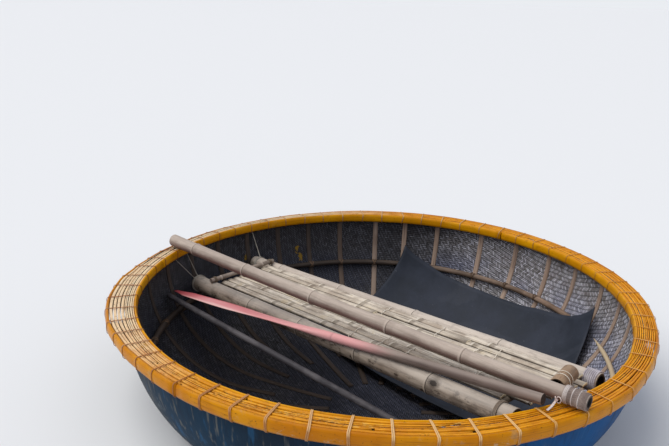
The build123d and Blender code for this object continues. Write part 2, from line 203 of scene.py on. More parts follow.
def gather(parts):
    """Joins finished shapes in one."""
    whole = bmesh.new()
    for part in parts:
        mesh = bpy.data.meshes.new("part")
        part.to_mesh(mesh)
        part.free()
        whole.from_mesh(mesh)
        bpy.data.meshes.remove(mesh)
    return whole


def keep(shape, name, finish, slot, *replaces, smooth=True):
    """Makes the finished shape, or the list of shapes, a piece of the boat."""
    piece = add_mesh(gather(shape) if isinstance(shape, list) else shape, name, finish)
    for face in piece.data.polygons:
        face.use_smooth = smooth
    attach(piece, "root")
    if replaces:
        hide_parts(*replaces)
    return piece


def close_ends(bm):
    bmesh.ops.holes_fill(bm, edges=[edge for edge in bm.edges if edge.is_boundary], sides=0)
    bmesh.ops.recalc_face_normals(bm, faces=bm.faces)
    return bm


def face_up(bm):
    """Turns the faces of a flat shape to look upwards."""
    bmesh.ops.recalc_face_normals(bm, faces=bm.faces)
    if sum(face.normal.z for face in bm.faces) < 0:
        bmesh.ops.reverse_faces(bm, faces=bm.faces)


def closed_loop(bm, points):
    corners = [bm.verts.new(point) for point in points]
    return corners, [bm.edges.new(pair) for pair in zip(corners, corners[1:] + corners[:1])]


def sweep(outline, places):
    """Carries a closed outline, drawn across X, through the given frames and closes both ends."""
    bm = bmesh.new()
    ring, edges = closed_loop(bm, [(0.0, y, z) for y, z in outline])
    bmesh.ops.transform(bm, matrix=places[0], verts=ring)
    for last, place in zip(places, places[1:]):
        made = bmesh.ops.extrude_edge_only(bm, edges=edges)["geom"]
        ring = [item for item in made if isinstance(item, bmesh.types.BMVert)]
        fresh = set(ring)
        edges = [item for item in made if isinstance(item, bmesh.types.BMEdge)
                 and fresh.issuperset(item.verts)]
        bmesh.ops.transform(bm, matrix=place @ last.inverted(), verts=ring)
    return close_ends(bm)


def oval(width, height, sides):
    turns = [tau * n / sides for n in range(sides)]
    return [(width / 2 * cos(turn), height / 2 * sin(turn)) for turn in turns]


def frame_at(point, run, side):
    """Frame at a point, with X along the run and Y to the side."""
    return Matrix.Translation(point) @ Matrix((run, side, run.cross(side))).transposed().to_4x4()


def facing_frame(point, run, up):
    """Frame with X along the run and Z as near to up as it can be."""
    run = run.normalized()
    return frame_at(point, run, up.cross(run).normalized())


def line_frame(start, end):
    """Frame at a start point, with X towards the end point and Y level."""
    run = (end - start).normalized()
    return frame_at(start, run, Vector((-run.y, run.x, 0)).normalized())


def with_runs(points):
    """Each point of a line with the way from the point before it to the point after it."""
    last = len(points) - 1
    return [(point, points[min(n + 1, last)] - points[max(n - 1, 0)]) for n, point in enumerate(points)]


def tube(points, diameter, sides=6):
    """Cord along the points."""
    places = []
    side = None
    for point, run in with_runs(points):
        run = run.normalized()
        side = (side - run * side.dot(run)).normalized() if side else run.orthogonal().normalized()
        places.append(frame_at(point, run, side))
    return sweep(oval(diameter, diameter, sides), places)


def winding(start, run, radius, pitch, turns, steps=16):
    """Points of a cord wound round a straight pole."""
    run = run.normalized()
    level = Vector((-run.y, run.x, 0)).normalized()
    up = run.cross(level)
    points = []
    for number in range(int(turns * steps) + 1):
        angle = tau * number / steps
        away = level * cos(angle) + up * sin(angle)
        points.append(start + run * (pitch * number / steps) + away * radius)
    return points


def ball(point, radius):
    bm = bmesh.new()
    bmesh.ops.create_icosphere(bm, subdivisions=2, radius=radius, matrix=Matrix.Translation(point))
    return bm


# Bamboo poles: the rounding of a cut end, and the distance between rings of points
CUT_EDGE = 0.0012
CULM_STATION = 0.03
# Distance from a bamboo node, and the culm's rise there as a share of the node's full rise
NODE_SHAPE = ((-0.016, 0.0), (-0.007, 0.30), (-0.0026, 1.0), (-0.0008, 0.95), (0.0004, -0.30),
              (0.0022, 0.62), (0.008, 0.34), (0.018, 0.0))
NODE_REACH = 0.022


def culm(start, end, radii, nodes, wall, ridge, seed, sides=28, depth=0.10, bow=0.0):
    """Bamboo pole: spun about its line, ringed at its nodes, thinner between them and open at both ends."""
    length = (end - start).length

    def size(x):
        return radii[0] + (radii[1] - radii[0]) * x / length

    stops = {CUT_EDGE: 0.0, length - CUT_EDGE: 0.0}
    evenly = [CULM_STATION * n for n in range(1, int(length / CULM_STATION))]
    stops.update({x: 0.0 for x in evenly if x < length - 0.01})
    stops = {x: rise for x, rise in stops.items() if all(abs(x - node) > NODE_REACH for node in nodes)}
    stops.update({node + offset: rise for node in nodes for offset, rise in NODE_SHAPE})
    marks = (0.0, *nodes, length)
    outline = [(depth, 0.0), (depth, size(0) - wall), (0.0, size(0) - wall), (0.0, size(0) - CUT_EDGE)]
    for x in sorted(stops):
        low = max(mark for mark in marks if mark <= x + 1e-9)
        high = min((mark for mark in marks if mark > x + 1e-9), default=length)
        waist = 0.022 * sin(pi * (x - low) / max(high - low, 0.001))
        outline.append((x, size(x) * (1 - waist) + ridge * stops[x]))
    outline += [(length, size(length) - CUT_EDGE), (length, size(length) - wall),
                (length - depth, size(length) - wall), (length - depth, 0.0)]
    bm = bmesh.new()
    line = [bm.verts.new((x, 0.0, radius)) for x, radius in outline]
    edges = [bm.edges.new(pair) for pair in zip(line, line[1:])]
    bmesh.ops.spin(bm, geom=line + edges, cent=(0, 0, 0), axis=(1, 0, 0), angle=tau, steps=sides,
                   use_merge=True)
    bmesh.ops.remove_doubles(bm, verts=bm.verts, dist=0.00001)
    bmesh.ops.recalc_face_normals(bm, faces=bm.faces)
    for vertex in bm.verts:
        x, y, z = vertex.co
        share = x / length
        lump = 1 + 0.012 * wander((x * 5, y * 18, z * 18), 1.0, seed)
        sway = 0.0022 * wander((x, 0, 0), 2.2, seed + 1) * min(1, 8 * share * (1 - share))
        vertex.co = Vector((x, y * lump + sway, z * lump - bow * 4 * share * (1 - share)))
    bmesh.ops.transform(bm, matrix=line_frame(start, end), verts=bm.verts)
    return bm


def bent_length(outline, start, end, steps):
    """A strip bent round the boat: its outline, as radius and height, spun from one azimuth to another."""
    bm = bmesh.new()
    corners, edges = closed_loop(bm, [(radius, 0.0, height) for radius, height in outline])
    bmesh.ops.rotate(bm, cent=(0, 0, 0), matrix=Matrix.Rotation(start, 3, "Z"), verts=corners)
    bmesh.ops.spin(bm, geom=corners + edges, cent=(0, 0, 0), axis=(0, 0, 1), angle=end - start, steps=steps,
                   use_merge=False)
    return close_ends(bm)


def rounded_outline(inner, outer, bottom, top, corner):
    """Rectangle with its corners rounded, in radius and height."""
    outline = []
    for quarter, (x, z) in enumerate(((outer, top), (inner, top), (inner, bottom), (outer, bottom))):
        centre_x = x - corner if x == outer else x + corner
        centre_z = z - corner if z == top else z + corner
        for number in range(3):
            angle = radians(90.0 * (quarter + number / 2))
            outline.append((centre_x + corner * cos(angle), centre_z + corner * sin(angle)))
    return outline


def stray(azimuth, radius):
    """Shift outwards and drop of a point of the rim: all of it in the bands, none where it grips the wall."""
    here = degrees(azimuth) % 360
    out_share = min(max((radius - HULL_RADIUS) / (OUTER_BAND_IN - HULL_RADIUS), 0.0), 1.0)
    in_share = min(max((HULL_RADIUS - WALL - radius) / (HULL_RADIUS - WALL - INNER_BAND_OUT), 0.0), 1.0)
    for first, second in zip(RIM_STRAY, RIM_STRAY[1:]):
        if first[0] <= here <= second[0]:
            share = eased((here - first[0]) / (second[0] - first[0]))
            outer, inner, drop = [(p + (q - p) * share) / 1000 for p, q in zip(first[1:], second[1:])]
            return outer * out_share + inner * in_share, drop * out_share
    return 0.0, 0.0


def bent_ring(outline, joint, gap, seed, sway, lift, steps=64):
    """Three lengths butted end to end round the boat, a little uneven as split bamboo is."""
    radius = outline[0][0]
    parts = []
    for number in range(RING_LENGTHS):
        start = radians(joint) + gap / radius / 2 + number * tau / RING_LENGTHS
        part = bent_length(outline, start, start + tau / RING_LENGTHS - gap / radius, steps)
        for vertex in part.verts:
            outward = Vector((vertex.co.x, vertex.co.y, 0)).normalized()
            place = outward * 4.0
            bend, drop = stray(atan2(vertex.co.y, vertex.co.x), hypot(vertex.co.x, vertex.co.y))
            vertex.co += outward * (bend + sway * wander(place, 2.0, seed + number * 5))
            vertex.co.z -= drop
            vertex.co.z += lift * (wander(place, 2.6, seed + 40 + number * 5)
                                   + 0.5 * wander(place, 9.0, seed + 80))
        parts.append(part)
    return gather(parts)


# Finishes

class Finish:
    """A material whose nodes are put together by short calls. Values are sockets or plain numbers."""

    def __init__(self, name, roughness=0.7, specular=0.3):
        self.material = bpy.data.materials.new(name)
        self.material.use_nodes = True
        self.tree = self.material.node_tree
        self.shader = self.tree.nodes["Principled BSDF"]
        self.shader.inputs["Roughness"].default_value = roughness
        self.shader.inputs["Specular IOR Level"].default_value = specular
        self.place = self.tree.nodes.new("ShaderNodeTexCoord").outputs["Object"]
        split = self.add("ShaderNodeSeparateXYZ", {0: self.place})
        self.x, self.y, self.z = split.outputs

    def add(self, kind, inputs=None, **settings):
        node = self.tree.nodes.new(kind)
        for key, value in settings.items():
            setattr(node, key, value)
        for key, value in (inputs or {}).items():
            self.put(node.inputs[key], value)
        return node

    def put(self, socket, value):
        if isinstance(value, bpy.types.NodeSocket):
            self.tree.links.new(value, socket)
        else:
            socket.default_value = value

    def math(self, operation, *values):
        return self.add("ShaderNodeMath", dict(enumerate(values)), operation=operation).outputs[0]

    def vectors(self, operation, *values):
        """Sum with vectors, which gives a number where it is a length or a dot product."""
        node = self.add("ShaderNodeVectorMath", dict(enumerate(values)), operation=operation)
        return node.outputs["Value" if operation in ("LENGTH", "DOT_PRODUCT") else 0]

    def times(self, first, *others):
        for other in others:
            first = self.math("MULTIPLY", first, other)
        return first

    def plus(self, first, *others):
        for other in others:
            first = self.math("ADD", first, other)
        return first

    def most(self, first, *others):
        for other in others:
            first = self.math("MAXIMUM", first, other)
        return first

    def shaken(self, value, cloud, amount):
        """The value, moved up and down by a noise."""
        return self.plus(value, self.times(self.plus(cloud, -0.5), amount))

    def vector(self, x, y, z):
        return self.add("ShaderNodeCombineXYZ", {0: x, 1: y, 2: z}).outputs[0]

    def scaled(self, *pairs):
        """Vector of three values, each times its factor."""
        return self.vector(*[self.times(value, factor) for value, factor in pairs])

    def noise(self, scale, detail=3.0, place=None, rough=0.55, warp=0.0):
        node = self.add("ShaderNodeTexNoise", {"Vector": place or self.place, "Scale": scale,
                                               "Detail": detail, "Roughness": rough, "Distortion": warp})
        return node.outputs["Fac"]

    def random(self, place):
        return self.add("ShaderNodeTexWhiteNoise", {"Vector": place}).outputs["Value"]

    def lot(self, value, first, second):
        """A random number for each whole step of the value."""
        return self.random(self.vector(self.math("FLOOR", value), first, second))

    def fit(self, value, low, high, out_low=0.0, out_high=1.0):
        """Runs from out_low to out_high, smoothly, as the value goes from low to high."""
        node = self.add("ShaderNodeMapRange", {"Value": value, "From Min": low, "From Max": high,
                                               "To Min": out_low, "To Max": out_high},
                        interpolation_type="SMOOTHSTEP")
        return node.outputs["Result"]

    def between(self, value, low, high, soft):
        """1 from low to high, falling off over the soft width at both sides."""
        return self.times(self.fit(value, low - soft, low), self.fit(value, high + soft, high))

    def pick(self, share, first, second):
        """The first value where the share is 0 and the second where it is 1."""
        return self.add("ShaderNodeMix", {0: share, 2: first, 3: second}, data_type="FLOAT").outputs[0]

    def mix(self, share, first, second):
        colours = [tone(colour) if isinstance(colour, str) else colour for colour in (first, second)]
        return self.add("ShaderNodeMix", {0: share, 6: colours[0], 7: colours[1]},
                        data_type="RGBA").outputs[2]

    def coat(self, colour, *layers):
        """Lays colours over one another. A layer is its colour and its cover, or in place of the cover a
        value and where the cover starts and is full. A last number is the strength of the cover."""
        for layer, cover, *rest in layers:
            if len(rest) > 1:
                cover = self.fit(cover, rest[0], rest[1])
            if len(rest) % 2:
                cover = self.times(cover, rest[-1])
            colour = self.mix(cover, colour, layer)
        return colour

    def ramp(self, value, *stops):
        """A colour for each place between 0 and 1."""
        node = self.add("ShaderNodeValToRGB", {0: value})
        while len(node.color_ramp.elements) < len(stops):
            node.color_ramp.elements.new(0.5)
        for element, (place, code) in zip(node.color_ramp.elements, stops):
            element.position = place
            element.color = tone(code)
        return node.outputs["Color"]

    def azimuth(self):
        """The direction from the boat's axis as 0 to 1 of a turn, from -X round by -Y."""
        return self.plus(self.math("DIVIDE", self.math("ARCTAN2", self.y, self.x), tau), 0.5)

    def radius(self):
        return self.math("SQRT", self.plus(self.times(self.x, self.x), self.times(self.y, self.y)))

    def side(self, azimuth):
        """How far a place lies to one side of the boat's axis, in metres."""
        turn = radians(azimuth)
        return self.plus(self.times(self.x, cos(turn)), self.times(self.y, sin(turn)))

    def ring_grain(self, across, along=5.0):
        """Fibres round the boat: fine across the section, slow along the ring, and without a seam."""
        drift = self.noise(along, 2.0)
        return self.scaled((self.radius(), across), (self.z, across), (drift, 9.0))

    def turned(self, direction, stretch):
        """Place turned so that X runs along the direction, and slowed there by the stretch."""
        turn = Vector(direction).to_track_quat("X", "Z").inverted().to_euler()
        node = self.add("ShaderNodeMapping", {"Vector": self.place, "Rotation": turn}, vector_type="POINT")
        return self.vectors("MULTIPLY", node.outputs[0], (1.0 / stretch, 1.0, 1.0))

    def along(self, direction, start):
        """Distance along a straight piece from its start."""
        unit = Vector(direction).normalized()
        return self.math("SUBTRACT", self.vectors("DOT_PRODUCT", self.place, unit), Vector(start).dot(unit))

    def looks(self, direction, normal="True Normal"):
        """How far the surface looks in a direction, from -1 to 1."""
        source = self.add("ShaderNodeNewGeometry").outputs[normal]
        return self.vectors("DOT_PRODUCT", source, Vector(direction).normalized())

    def ends(self, direction):
        """1 where the surface faces either way along the direction."""
        return self.math("ABSOLUTE", self.looks(direction))

    def near(self, point, widths):
        """Distance from a point, in shares of the widths along the axes."""
        away = self.vectors("SUBTRACT", self.place, point)
        return self.vectors("LENGTH", self.vectors("MULTIPLY", away, tuple(1 / w for w in widths)))

    def past_node(self, along, nodes):
        """Distance past the nearest of the nodes."""
        signed = 9.0
        for node in nodes:
            offset = self.plus(along, -node)
            closer = self.math("LESS_THAN", self.math("ABSOLUTE", offset), self.math("ABSOLUTE", signed))
            signed = self.pick(closer, signed, offset)
        return signed

    def done(self, colour, height, depth, strength, roughness=None):
        self.put(self.shader.inputs["Base Color"], colour)
        if roughness is not None:
            self.put(self.shader.inputs["Roughness"], roughness)
        bump = self.add("ShaderNodeBump", {"Height": height, "Distance": depth, "Strength": strength})
        self.tree.links.new(bump.outputs[0], self.shader.inputs["Normal"])
        return self.material


def hull_paint():
    """Blue paint over tarred weave: streaked teal on one side, deep blue on the other, stained low down."""
    f = Finish("hull_paint", 0.6, 0.12)
    streaks = f.noise(1.0, 5.0, f.scaled((f.x, 26.0), (f.y, 26.0), (f.z, 1.8)), 0.62)
    drips = f.noise(1.0, 3.0, f.scaled((f.x, 62.0), (f.y, 62.0), (f.z, 3.0)), 0.5)
    clouds = f.noise(3.2, 4.0)
    fine = f.noise(90.0, 3.0)
    weathered = f.fit(f.shaken(f.side(246.0), clouds, 0.5), 0.05, 0.60)
    deep = f.coat("003562", ("004f88", clouds, 0.35, 0.66))
    teal = f.coat("061a29", ("0c2e45", clouds, 0.35, 0.66))
    worn = f.times(f.fit(f.noise(7.0, 6.0, None, 0.7), 0.60, 0.70), f.fit(fine, 0.42, 0.60))
    slime = f.times(f.fit(f.z, 0.050, -0.015), f.fit(f.noise(12.0, 4.0), 0.25, 0.55))
    colour = f.coat(deep, (teal, weathered), ("0a1c30", streaks, 0.52, 0.68, 0.75),
                    ("6b6a62", drips, 0.56, 0.70, f.plus(f.times(weathered, 0.55), 0.10)),
                    ("1f5f8c", streaks, 0.42, 0.30, 0.45), ("5d6a70", worn, 0.7), ("1c2a22", slime),
                    ("15181a", f.z, -0.03, -0.09, 0.85))
    height = f.plus(f.times(streaks, 0.8), f.times(fine, 0.25))
    return f.done(colour, height, 0.0028, 0.6, f.fit(clouds, 0.3, 0.7, 0.42, 0.62))


# Middles of the ochre stains on the weave
OCHRE_STAINS = ((-0.931, 0.005, 0.214), (-0.869, 0.295, 0.172), (-0.885, 0.287, 0.212),
                (-0.021, 0.945, 0.304))


def woven_inside():
    """Bamboo strips woven three over three, laid flat and pressed into the bowl, weathered, tarred and
    darkened by painted shade.
    """
    f = Finish("woven_inside", 0.62, 0.25)
    radius = f.most(f.radius(), 0.001)
    rise = f.plus(f.z, -FLOOR_Z)
    arc = f.math("SQRT", f.plus(f.times(radius, radius), f.times(rise, rise, 1.93)))
    spread = f.math("DIVIDE", f.math("DIVIDE", arc, radius), WEAVE_WIDTH)
    uneven = f.times(f.plus(f.noise(6.0, 1.0), -0.5), 1.6)
    flat_x = f.times(f.x, spread)
    flat_y = f.times(f.y, spread)
    a = f.plus(f.times(flat_x, cos(WEAVE_TURN)), f.times(flat_y, sin(WEAVE_TURN)), uneven)
    b = f.plus(f.times(flat_y, cos(WEAVE_TURN)), f.times(flat_x, -sin(WEAVE_TURN)), uneven)
    i = f.math("FLOOR", a)
    j = f.math("FLOOR", b)
    first_on_top = f.math("LESS_THAN", f.math("FLOORED_MODULO", f.plus(i, j), 6.0), 2.5)
    across = f.pick(first_on_top, f.math("FRACT", a), f.math("FRACT", b))
    run = f.pick(first_on_top, f.plus(b, i, -3.0), f.plus(a, j))
    along = f.math("DIVIDE", f.math("FLOORED_MODULO", run, 6.0), 3.0)
    strip = f.pick(first_on_top, f.plus(i, 977.0), j)
    float_number = f.math("FLOOR", f.math("DIVIDE", run, 6.0))
    edge = f.math("ABSOLUTE", f.plus(f.times(across, 2.0), -1.0))
    end = f.math("ABSOLUTE", f.plus(f.times(along, 2.0), -1.0))
    rounded = f.math("SUBTRACT", 1.0, f.math("POWER", edge, 3.0))
    arched = f.math("SUBTRACT", 1.0, f.times(f.math("POWER", end, 2.4), 0.75))
    # Near black along the floats' edges and ends: tar with painted shade in the gaps between floats
    gap = f.most(f.fit(edge, 0.42, 0.82), f.times(f.fit(end, 0.66, 0.96), 0.95))
    shade = f.random(f.vector(strip, float_number, 0.0))
    strip_shade = f.random(f.vector(strip, 7.0, 3.0))
    clouds = f.noise(2.6, 4.0)
    patches = f.noise(7.5, 5.0, None, 0.65)
    colour = f.ramp(f.plus(f.times(shade, 0.66), f.times(strip_shade, 0.34)), (0.0, "7b7573"),
                    (0.30, "a29e9f"), (0.56, "c2bfc4"), (0.80, "dcdae4"), (1.0, "fbf9ff"))
    # Tar, darkened further as painted shade, on the left, in the far middle and in the bilge
    tar_and_shade = f.most(f.fit(f.shaken(f.side(205.0), patches, 0.5), -0.36, 0.22),
                 f.fit(f.side(138.0), 0.40, 0.86, 0.0, 0.30),
                 f.fit(f.shaken(f.z, clouds, 0.12), 0.02, -0.10, 0.0, 0.85))
    # Bluish low on the wall: painted sheen
    colour = f.coat(colour, ("7d88b2", f.times(f.fit(clouds, 0.38, 0.60), f.fit(f.z, 0.27, 0.12)), 0.6),
                    ("6f5b4c", f.times(f.fit(patches, 0.46, 0.66), f.fit(f.z, 0.14, 0.30)), 0.45),
                    # Dark brown band at the top of the wall, under the rim: painted shadow of the rim
                    ("342a24", f.z, 0.31, 0.350, 0.4), ("11141f", tar_and_shade, 0.86), ("0c0a0a", gap, 0.95))
    blots = f.noise(55.0, 4.0, None, 0.7)
    for point in OCHRE_STAINS:
        mark = f.shaken(f.near(point, (0.011, 0.011, 0.024)), blots, 5.0)
        colour = f.coat(colour, ("977410", mark, 1.0, 0.5, 0.8))
    return f.done(colour, f.times(rounded, arched), 0.0018, 0.9, f.fit(tar_and_shade, 0.0, 1.0, 0.66, 0.5))


def rim_bamboo(name, base, light, rubbed_share, spans):
    """Split bamboo band painted yellow, rubbed along its top edge in some spans, and darker towards the
    bottom as painted shade.
    """
    f = Finish(name, 0.5, 0.14)
    grain = f.noise(1.0, 5.0, f.ring_grain(300.0), 0.6)
    spots = f.noise(34.0, 4.0, None, 0.65)
    patches = f.noise(26.0, 6.0, None, 0.72)
    rubbed = f.times(f.fit(f.noise(9.0, 5.0, None, 0.7), 0.56, 0.64), f.fit(spots, 0.44, 0.58), rubbed_share)
    for low, high in spans:
        inside = f.between(f.azimuth(), low, high, 0.012)
        top = f.fit(f.z, RIM_TOP - 0.026, RIM_TOP - 0.004)
        bare = f.fit(f.plus(patches, f.times(top, -0.10)), 0.56, 0.64)
        rubbed = f.most(rubbed, f.times(inside, bare, 0.55))
    bare_colour = f.coat("8d8272", ("b9ab94", patches, 0.4, 0.6))
    colour = f.coat(base, (light, f.noise(4.5, 4.0), 0.36, 0.64), ("7d4704", grain, 0.52, 0.70, 0.45),
                    ("8a5a10", spots, 0.56, 0.70, 0.35), (bare_colour, rubbed),
                    ("3d2708", f.noise(150.0, 2.0), 0.67, 0.74, 0.75),
                    # Darker towards the band's bottom: painted shade
                    ("5e3a0c", f.z, RIM_TOP - 0.036, RIM_TOP - 0.046, 0.55))
    return f.done(colour, f.plus(grain, f.times(spots, 0.5)), 0.0012, 0.5, f.fit(rubbed, 0.0, 1.0, 0.36, 0.7))


def rim_laths():
    """Thin split laths on edge: golden on one side of the boat, cream on the other."""
    f = Finish("rim_laths", 0.5, 0.28)
    grain = f.noise(1.0, 6.0, f.ring_grain(520.0, 9.0), 0.65)
    patches = f.noise(16.0, 5.0, None, 0.65)
    fleck = f.noise(60.0, 4.0, None, 0.7)
    lane = f.lot(f.times(f.radius(), 136.0), 0.0, 0.0)
    # Cream towards the left side of the boat
    cream_side = f.fit(f.shaken(f.side(204.0), patches, 0.5), 0.15, 0.75)
    crumbs = f.times(f.between(f.azimuth(), 0.270, 0.366, 0.02), f.fit(fleck, 0.52, 0.62),
                     f.between(f.radius(), 0.940, 0.966, 0.004))
    colour = f.coat("c87a04", ("f2aa14", f.plus(f.times(lane, 0.6), f.times(f.fit(patches, 0.4, 0.6), 0.4))),
                    ("f0dfbe", cream_side, f.plus(0.62, f.times(lane, 0.3))),
                    ("552506", grain, 0.55, 0.68, 0.75), ("e6bc62", crumbs, 0.45),
                    # Near black below the laths' tops: painted shade in the gaps between them
                    ("4a2408", fleck, 0.40, 0.32, 0.55), ("2c1605", f.z, RIM_TOP - 0.0040, RIM_TOP - 0.0085))
    return f.done(colour, f.plus(grain, f.times(patches, 0.4)), 0.0018, 0.7)


def cane():
    """Flat cane of the lashings: red brown on the left, cream in front, golden on the right."""
    f = Finish("cane", 0.48, 0.32)
    grain = f.noise(1.0, 4.0, f.scaled((f.azimuth(), 9000.0), (f.radius(), 30.0), (f.z, 30.0)), 0.6)
    colour = f.ramp(f.azimuth(), (0.0, "a9682c"), (0.18, "96501a"), (0.27, "a4642a"), (0.325, "c98f52"),
                    (0.38, "dfb57c"), (0.44, "e0ac62"), (0.50, "d8952c"), (0.62, "cf8a1a"), (0.72, "c0801c"),
                    (0.82, "c9a066"), (0.92, "c59c70"), (1.0, "a9682c"))
    colour = f.coat(colour, ("f2dcb4", f.lot(f.times(f.azimuth(), 58.0), 2.0, 5.0), 0.22),
                    ("6d3d12", grain, 0.52, 0.68, 0.5),
                    # Darker down the band sides than on the top: painted shade
                    ("99560e", f.z, RIM_TOP - 0.004, RIM_TOP - 0.016, 0.6))
    return f.done(colour, grain, 0.001, 0.5)


def rib_bamboo():
    """Flat split ribs: grain down the bowl, bleached tan, tarred and darkened with painted shade like the
    weave on the dark side.
    """
    f = Finish("rib_bamboo", 0.6, 0.25)
    grain = f.noise(1.0, 5.0, f.scaled((f.azimuth(), 2200.0), (f.z, 6.0), (f.radius(), 6.0)), 0.6)
    # Tar with painted shade on the left and low down
    tar_and_shade = f.most(f.fit(f.side(225.0), -0.20, 0.40), f.fit(f.z, 0.04, -0.08, 0.0, 0.9))
    colour = f.coat("97806f", ("b39c8b", f.lot(f.times(f.azimuth(), 36.0), 1.0, 1.0)),
                    ("7c6556", f.noise(8.0, 4.0), 0.5, 0.7, 0.5), ("594539", grain, 0.5, 0.68, 0.65),
                    ("2a2422", tar_and_shade, 0.86))
    return f.done(colour, grain, 0.0014, 0.7)


def bamboo(name, start, end, nodes, colours, knots=0.4, painted_underside_shade=None, bore=None, knot=None, crown=None):
    """A bamboo pole: fibres along it, mottling, a pale line and a dark line of painted shade at each node and
    a dark cut end.
    """
    base, light, dark, line = colours
    direction = (end - start).normalized()
    f = Finish(name, 0.5, 0.25)
    grain = f.noise(150.0, 5.0, f.turned(direction, 22.0), 0.62)
    coarse = f.noise(60.0, 4.0, f.turned(direction, 10.0), 0.6)
    stains = f.noise(9.0, 5.0, f.turned(direction, 2.6), 0.65)
    spots = f.noise(42.0, 4.0, f.turned(direction, 1.8), 0.65)
    blotches = f.fit(f.noise(15.0, 6.0, f.turned(direction, 1.5), 0.7), 0.52, 0.62)
    colour = f.coat(base, (light, stains, 0.36, 0.62), (dark, coarse, 0.48, 0.66, 0.45),
                    (dark, grain, 0.50, 0.68, 0.5), (dark, spots, 0.55, 0.66, knots),
                    (dark, f.times(blotches, knots), 0.55))
    along = f.along(direction, start)
    if painted_underside_shade:
        # Darker where the surface faces down: painted shade on the underside
        colour = f.coat(colour, (painted_underside_shade, f.looks((0, -0.25, -1), "Normal"), -0.25, 0.55, 0.75))
    if nodes:
        past = f.past_node(along, nodes)
        # Past each node a darker band and a thin dark line: painted shade; a pale line before it
        colour = f.coat(colour, (dark, f.between(past, 0.001, 0.022, 0.012), 0.30),
                        (light, f.between(past, -0.0075, -0.0008, 0.003), 0.75),
                        (line, f.between(past, 0.0, 0.0008, 0.0009), 0.9))
    # Paler where the surface faces up: painted light on the top
    if crown:
        colour = f.coat(colour, (crown, f.shaken(f.looks((0, 0, 1), "Normal"), stains, 0.6), 0.1, 0.95, 0.5))
    if knot:
        # A branch scar, with cracks that run out from it
        torn = f.shaken(f.shaken(f.near(knot, (0.030, 0.030, 0.030)), coarse, 2.2), stains, 1.6)
        colour = f.coat(colour, (dark, torn, 1.15, 0.55, 0.6), (line, torn, 0.50, 0.25, 0.9))
    if bore:
        inside, low, high = bore
        away = f.vectors("SUBTRACT", f.place, start)
        reach = f.vectors("LENGTH", f.vectors("CROSS_PRODUCT", away, direction))
        near_ends = f.most(f.math("LESS_THAN", along, low), f.math("GREATER_THAN", along, high))
        # Near black on the bore's inner wall near the open ends: painted shade
        colour = f.coat(colour, ("15110e", reach, inside + 0.0022, inside + 0.0008, near_ends))
    colour = f.coat(colour, ("2a211b", f.ends(direction), 0.90, 0.97, 0.85))
    return f.done(colour, f.plus(grain, f.times(stains, 0.6)), 0.0014, 0.55,
                  f.fit(stains, 0.3, 0.7, 0.44, 0.66))


def ring_pole():
    """The brown pole bent round the bowl, lighter at its right end where the sun has bleached it."""
    f = Finish("ring_pole", 0.55, 0.25)
    grain = f.noise(1.0, 5.0, f.ring_grain(260.0, 6.0), 0.6)
    # Greyer towards the far left and near black on the left: painted shade
    colour = f.coat("6f5a4a", ("927a68", f.noise(9.0, 4.0), 0.38, 0.62), ("453529", grain, 0.5, 0.7, 0.6),
                    ("4a4540", f.side(140.0), 0.35, 0.85, 0.4), ("1e1a19", f.side(205.0), -0.10, 0.40, 0.8),
                    ("c4b091", f.between(f.azimuth(), 0.575, 0.650, 0.010), 0.88))
    return f.done(colour, grain, 0.0012, 0.6)


SLAT_SHADES = ("d8ccbc", "c9bcab", "e0d5c6", "cfc2af", "e2d8c9", "c6b9a8", "dccfbd", "d2c5b2", "ddd1c1")


def slat_bamboo(number, nodes):
    """Split slat silvered by weather, with its own tone, its own nodes, and painted shade at the nodes and
    along its edges.
    """
    f = Finish("slat_bamboo_%d" % (number + 1), 0.6, 0.2)
    along = f.along(BENCH_RUN, bench_point(0, 0, 0))
    grain = f.noise(170.0, 5.0, f.turned(BENCH_RUN, 24.0), 0.62)
    coarse = f.noise(70.0, 4.0, f.turned(BENCH_RUN, 9.0), 0.62)
    stains = f.noise(9.0, 5.0, None, 0.65)
    lengths = f.lot(f.times(f.plus(along, number * 0.37), 3.4), number, 1.0)
    past = f.past_node(along, nodes)
    across = f.math("FRACT", f.math("DIVIDE", f.plus(f.y, -SLATS_START), SLAT_PITCH))
    edge = f.math("ABSOLUTE", f.plus(f.times(across, 2.0), -1.0))
    colour = f.coat(SLAT_SHADES[number], ("ab9b8a", stains, 0.40, 0.66), ("cfc5b6", lengths, 0.40),
                    ("c7b184", stains, 0.46, 0.30, 0.5), ("6a5c52", coarse, 0.50, 0.66, 0.5),
                    ("54473e", grain, 0.50, 0.66, 0.6),
                    # Past each node a darker band and a thin dark line: painted shade; a pale line before it
                    ("5a4c41", f.between(past, 0.001, 0.014, 0.010), 0.45),
                    ("dcd2c4", f.between(past, -0.0080, -0.0010, 0.003), 0.7),
                    ("33281f", f.between(past, 0.0, 0.0010, 0.0010), 0.9),
                    # Darker along the slat's edges: painted shade in the gaps between slats
                    ("2b221b", edge, 0.84, 0.97, 0.75), ("e3d3b2", f.looks(BENCH_RUN), 0.8, 0.95))
    return f.done(colour, f.plus(grain, f.times(coarse, 0.7)), 0.0016, 0.65)


def plain_wood(name, direction, base, light, dark, end):
    f = Finish(name, 0.6, 0.25)
    grain = f.noise(130.0, 5.0, f.turned(direction, 16.0), 0.62)
    colour = f.coat(base, (light, f.noise(12.0, 4.0, None, 0.6), 0.38, 0.64), (dark, grain, 0.50, 0.70, 0.6),
                    (end, f.ends(direction), 0.88, 0.96, 0.9))
    return f.done(colour, grain, 0.0014, 0.6)


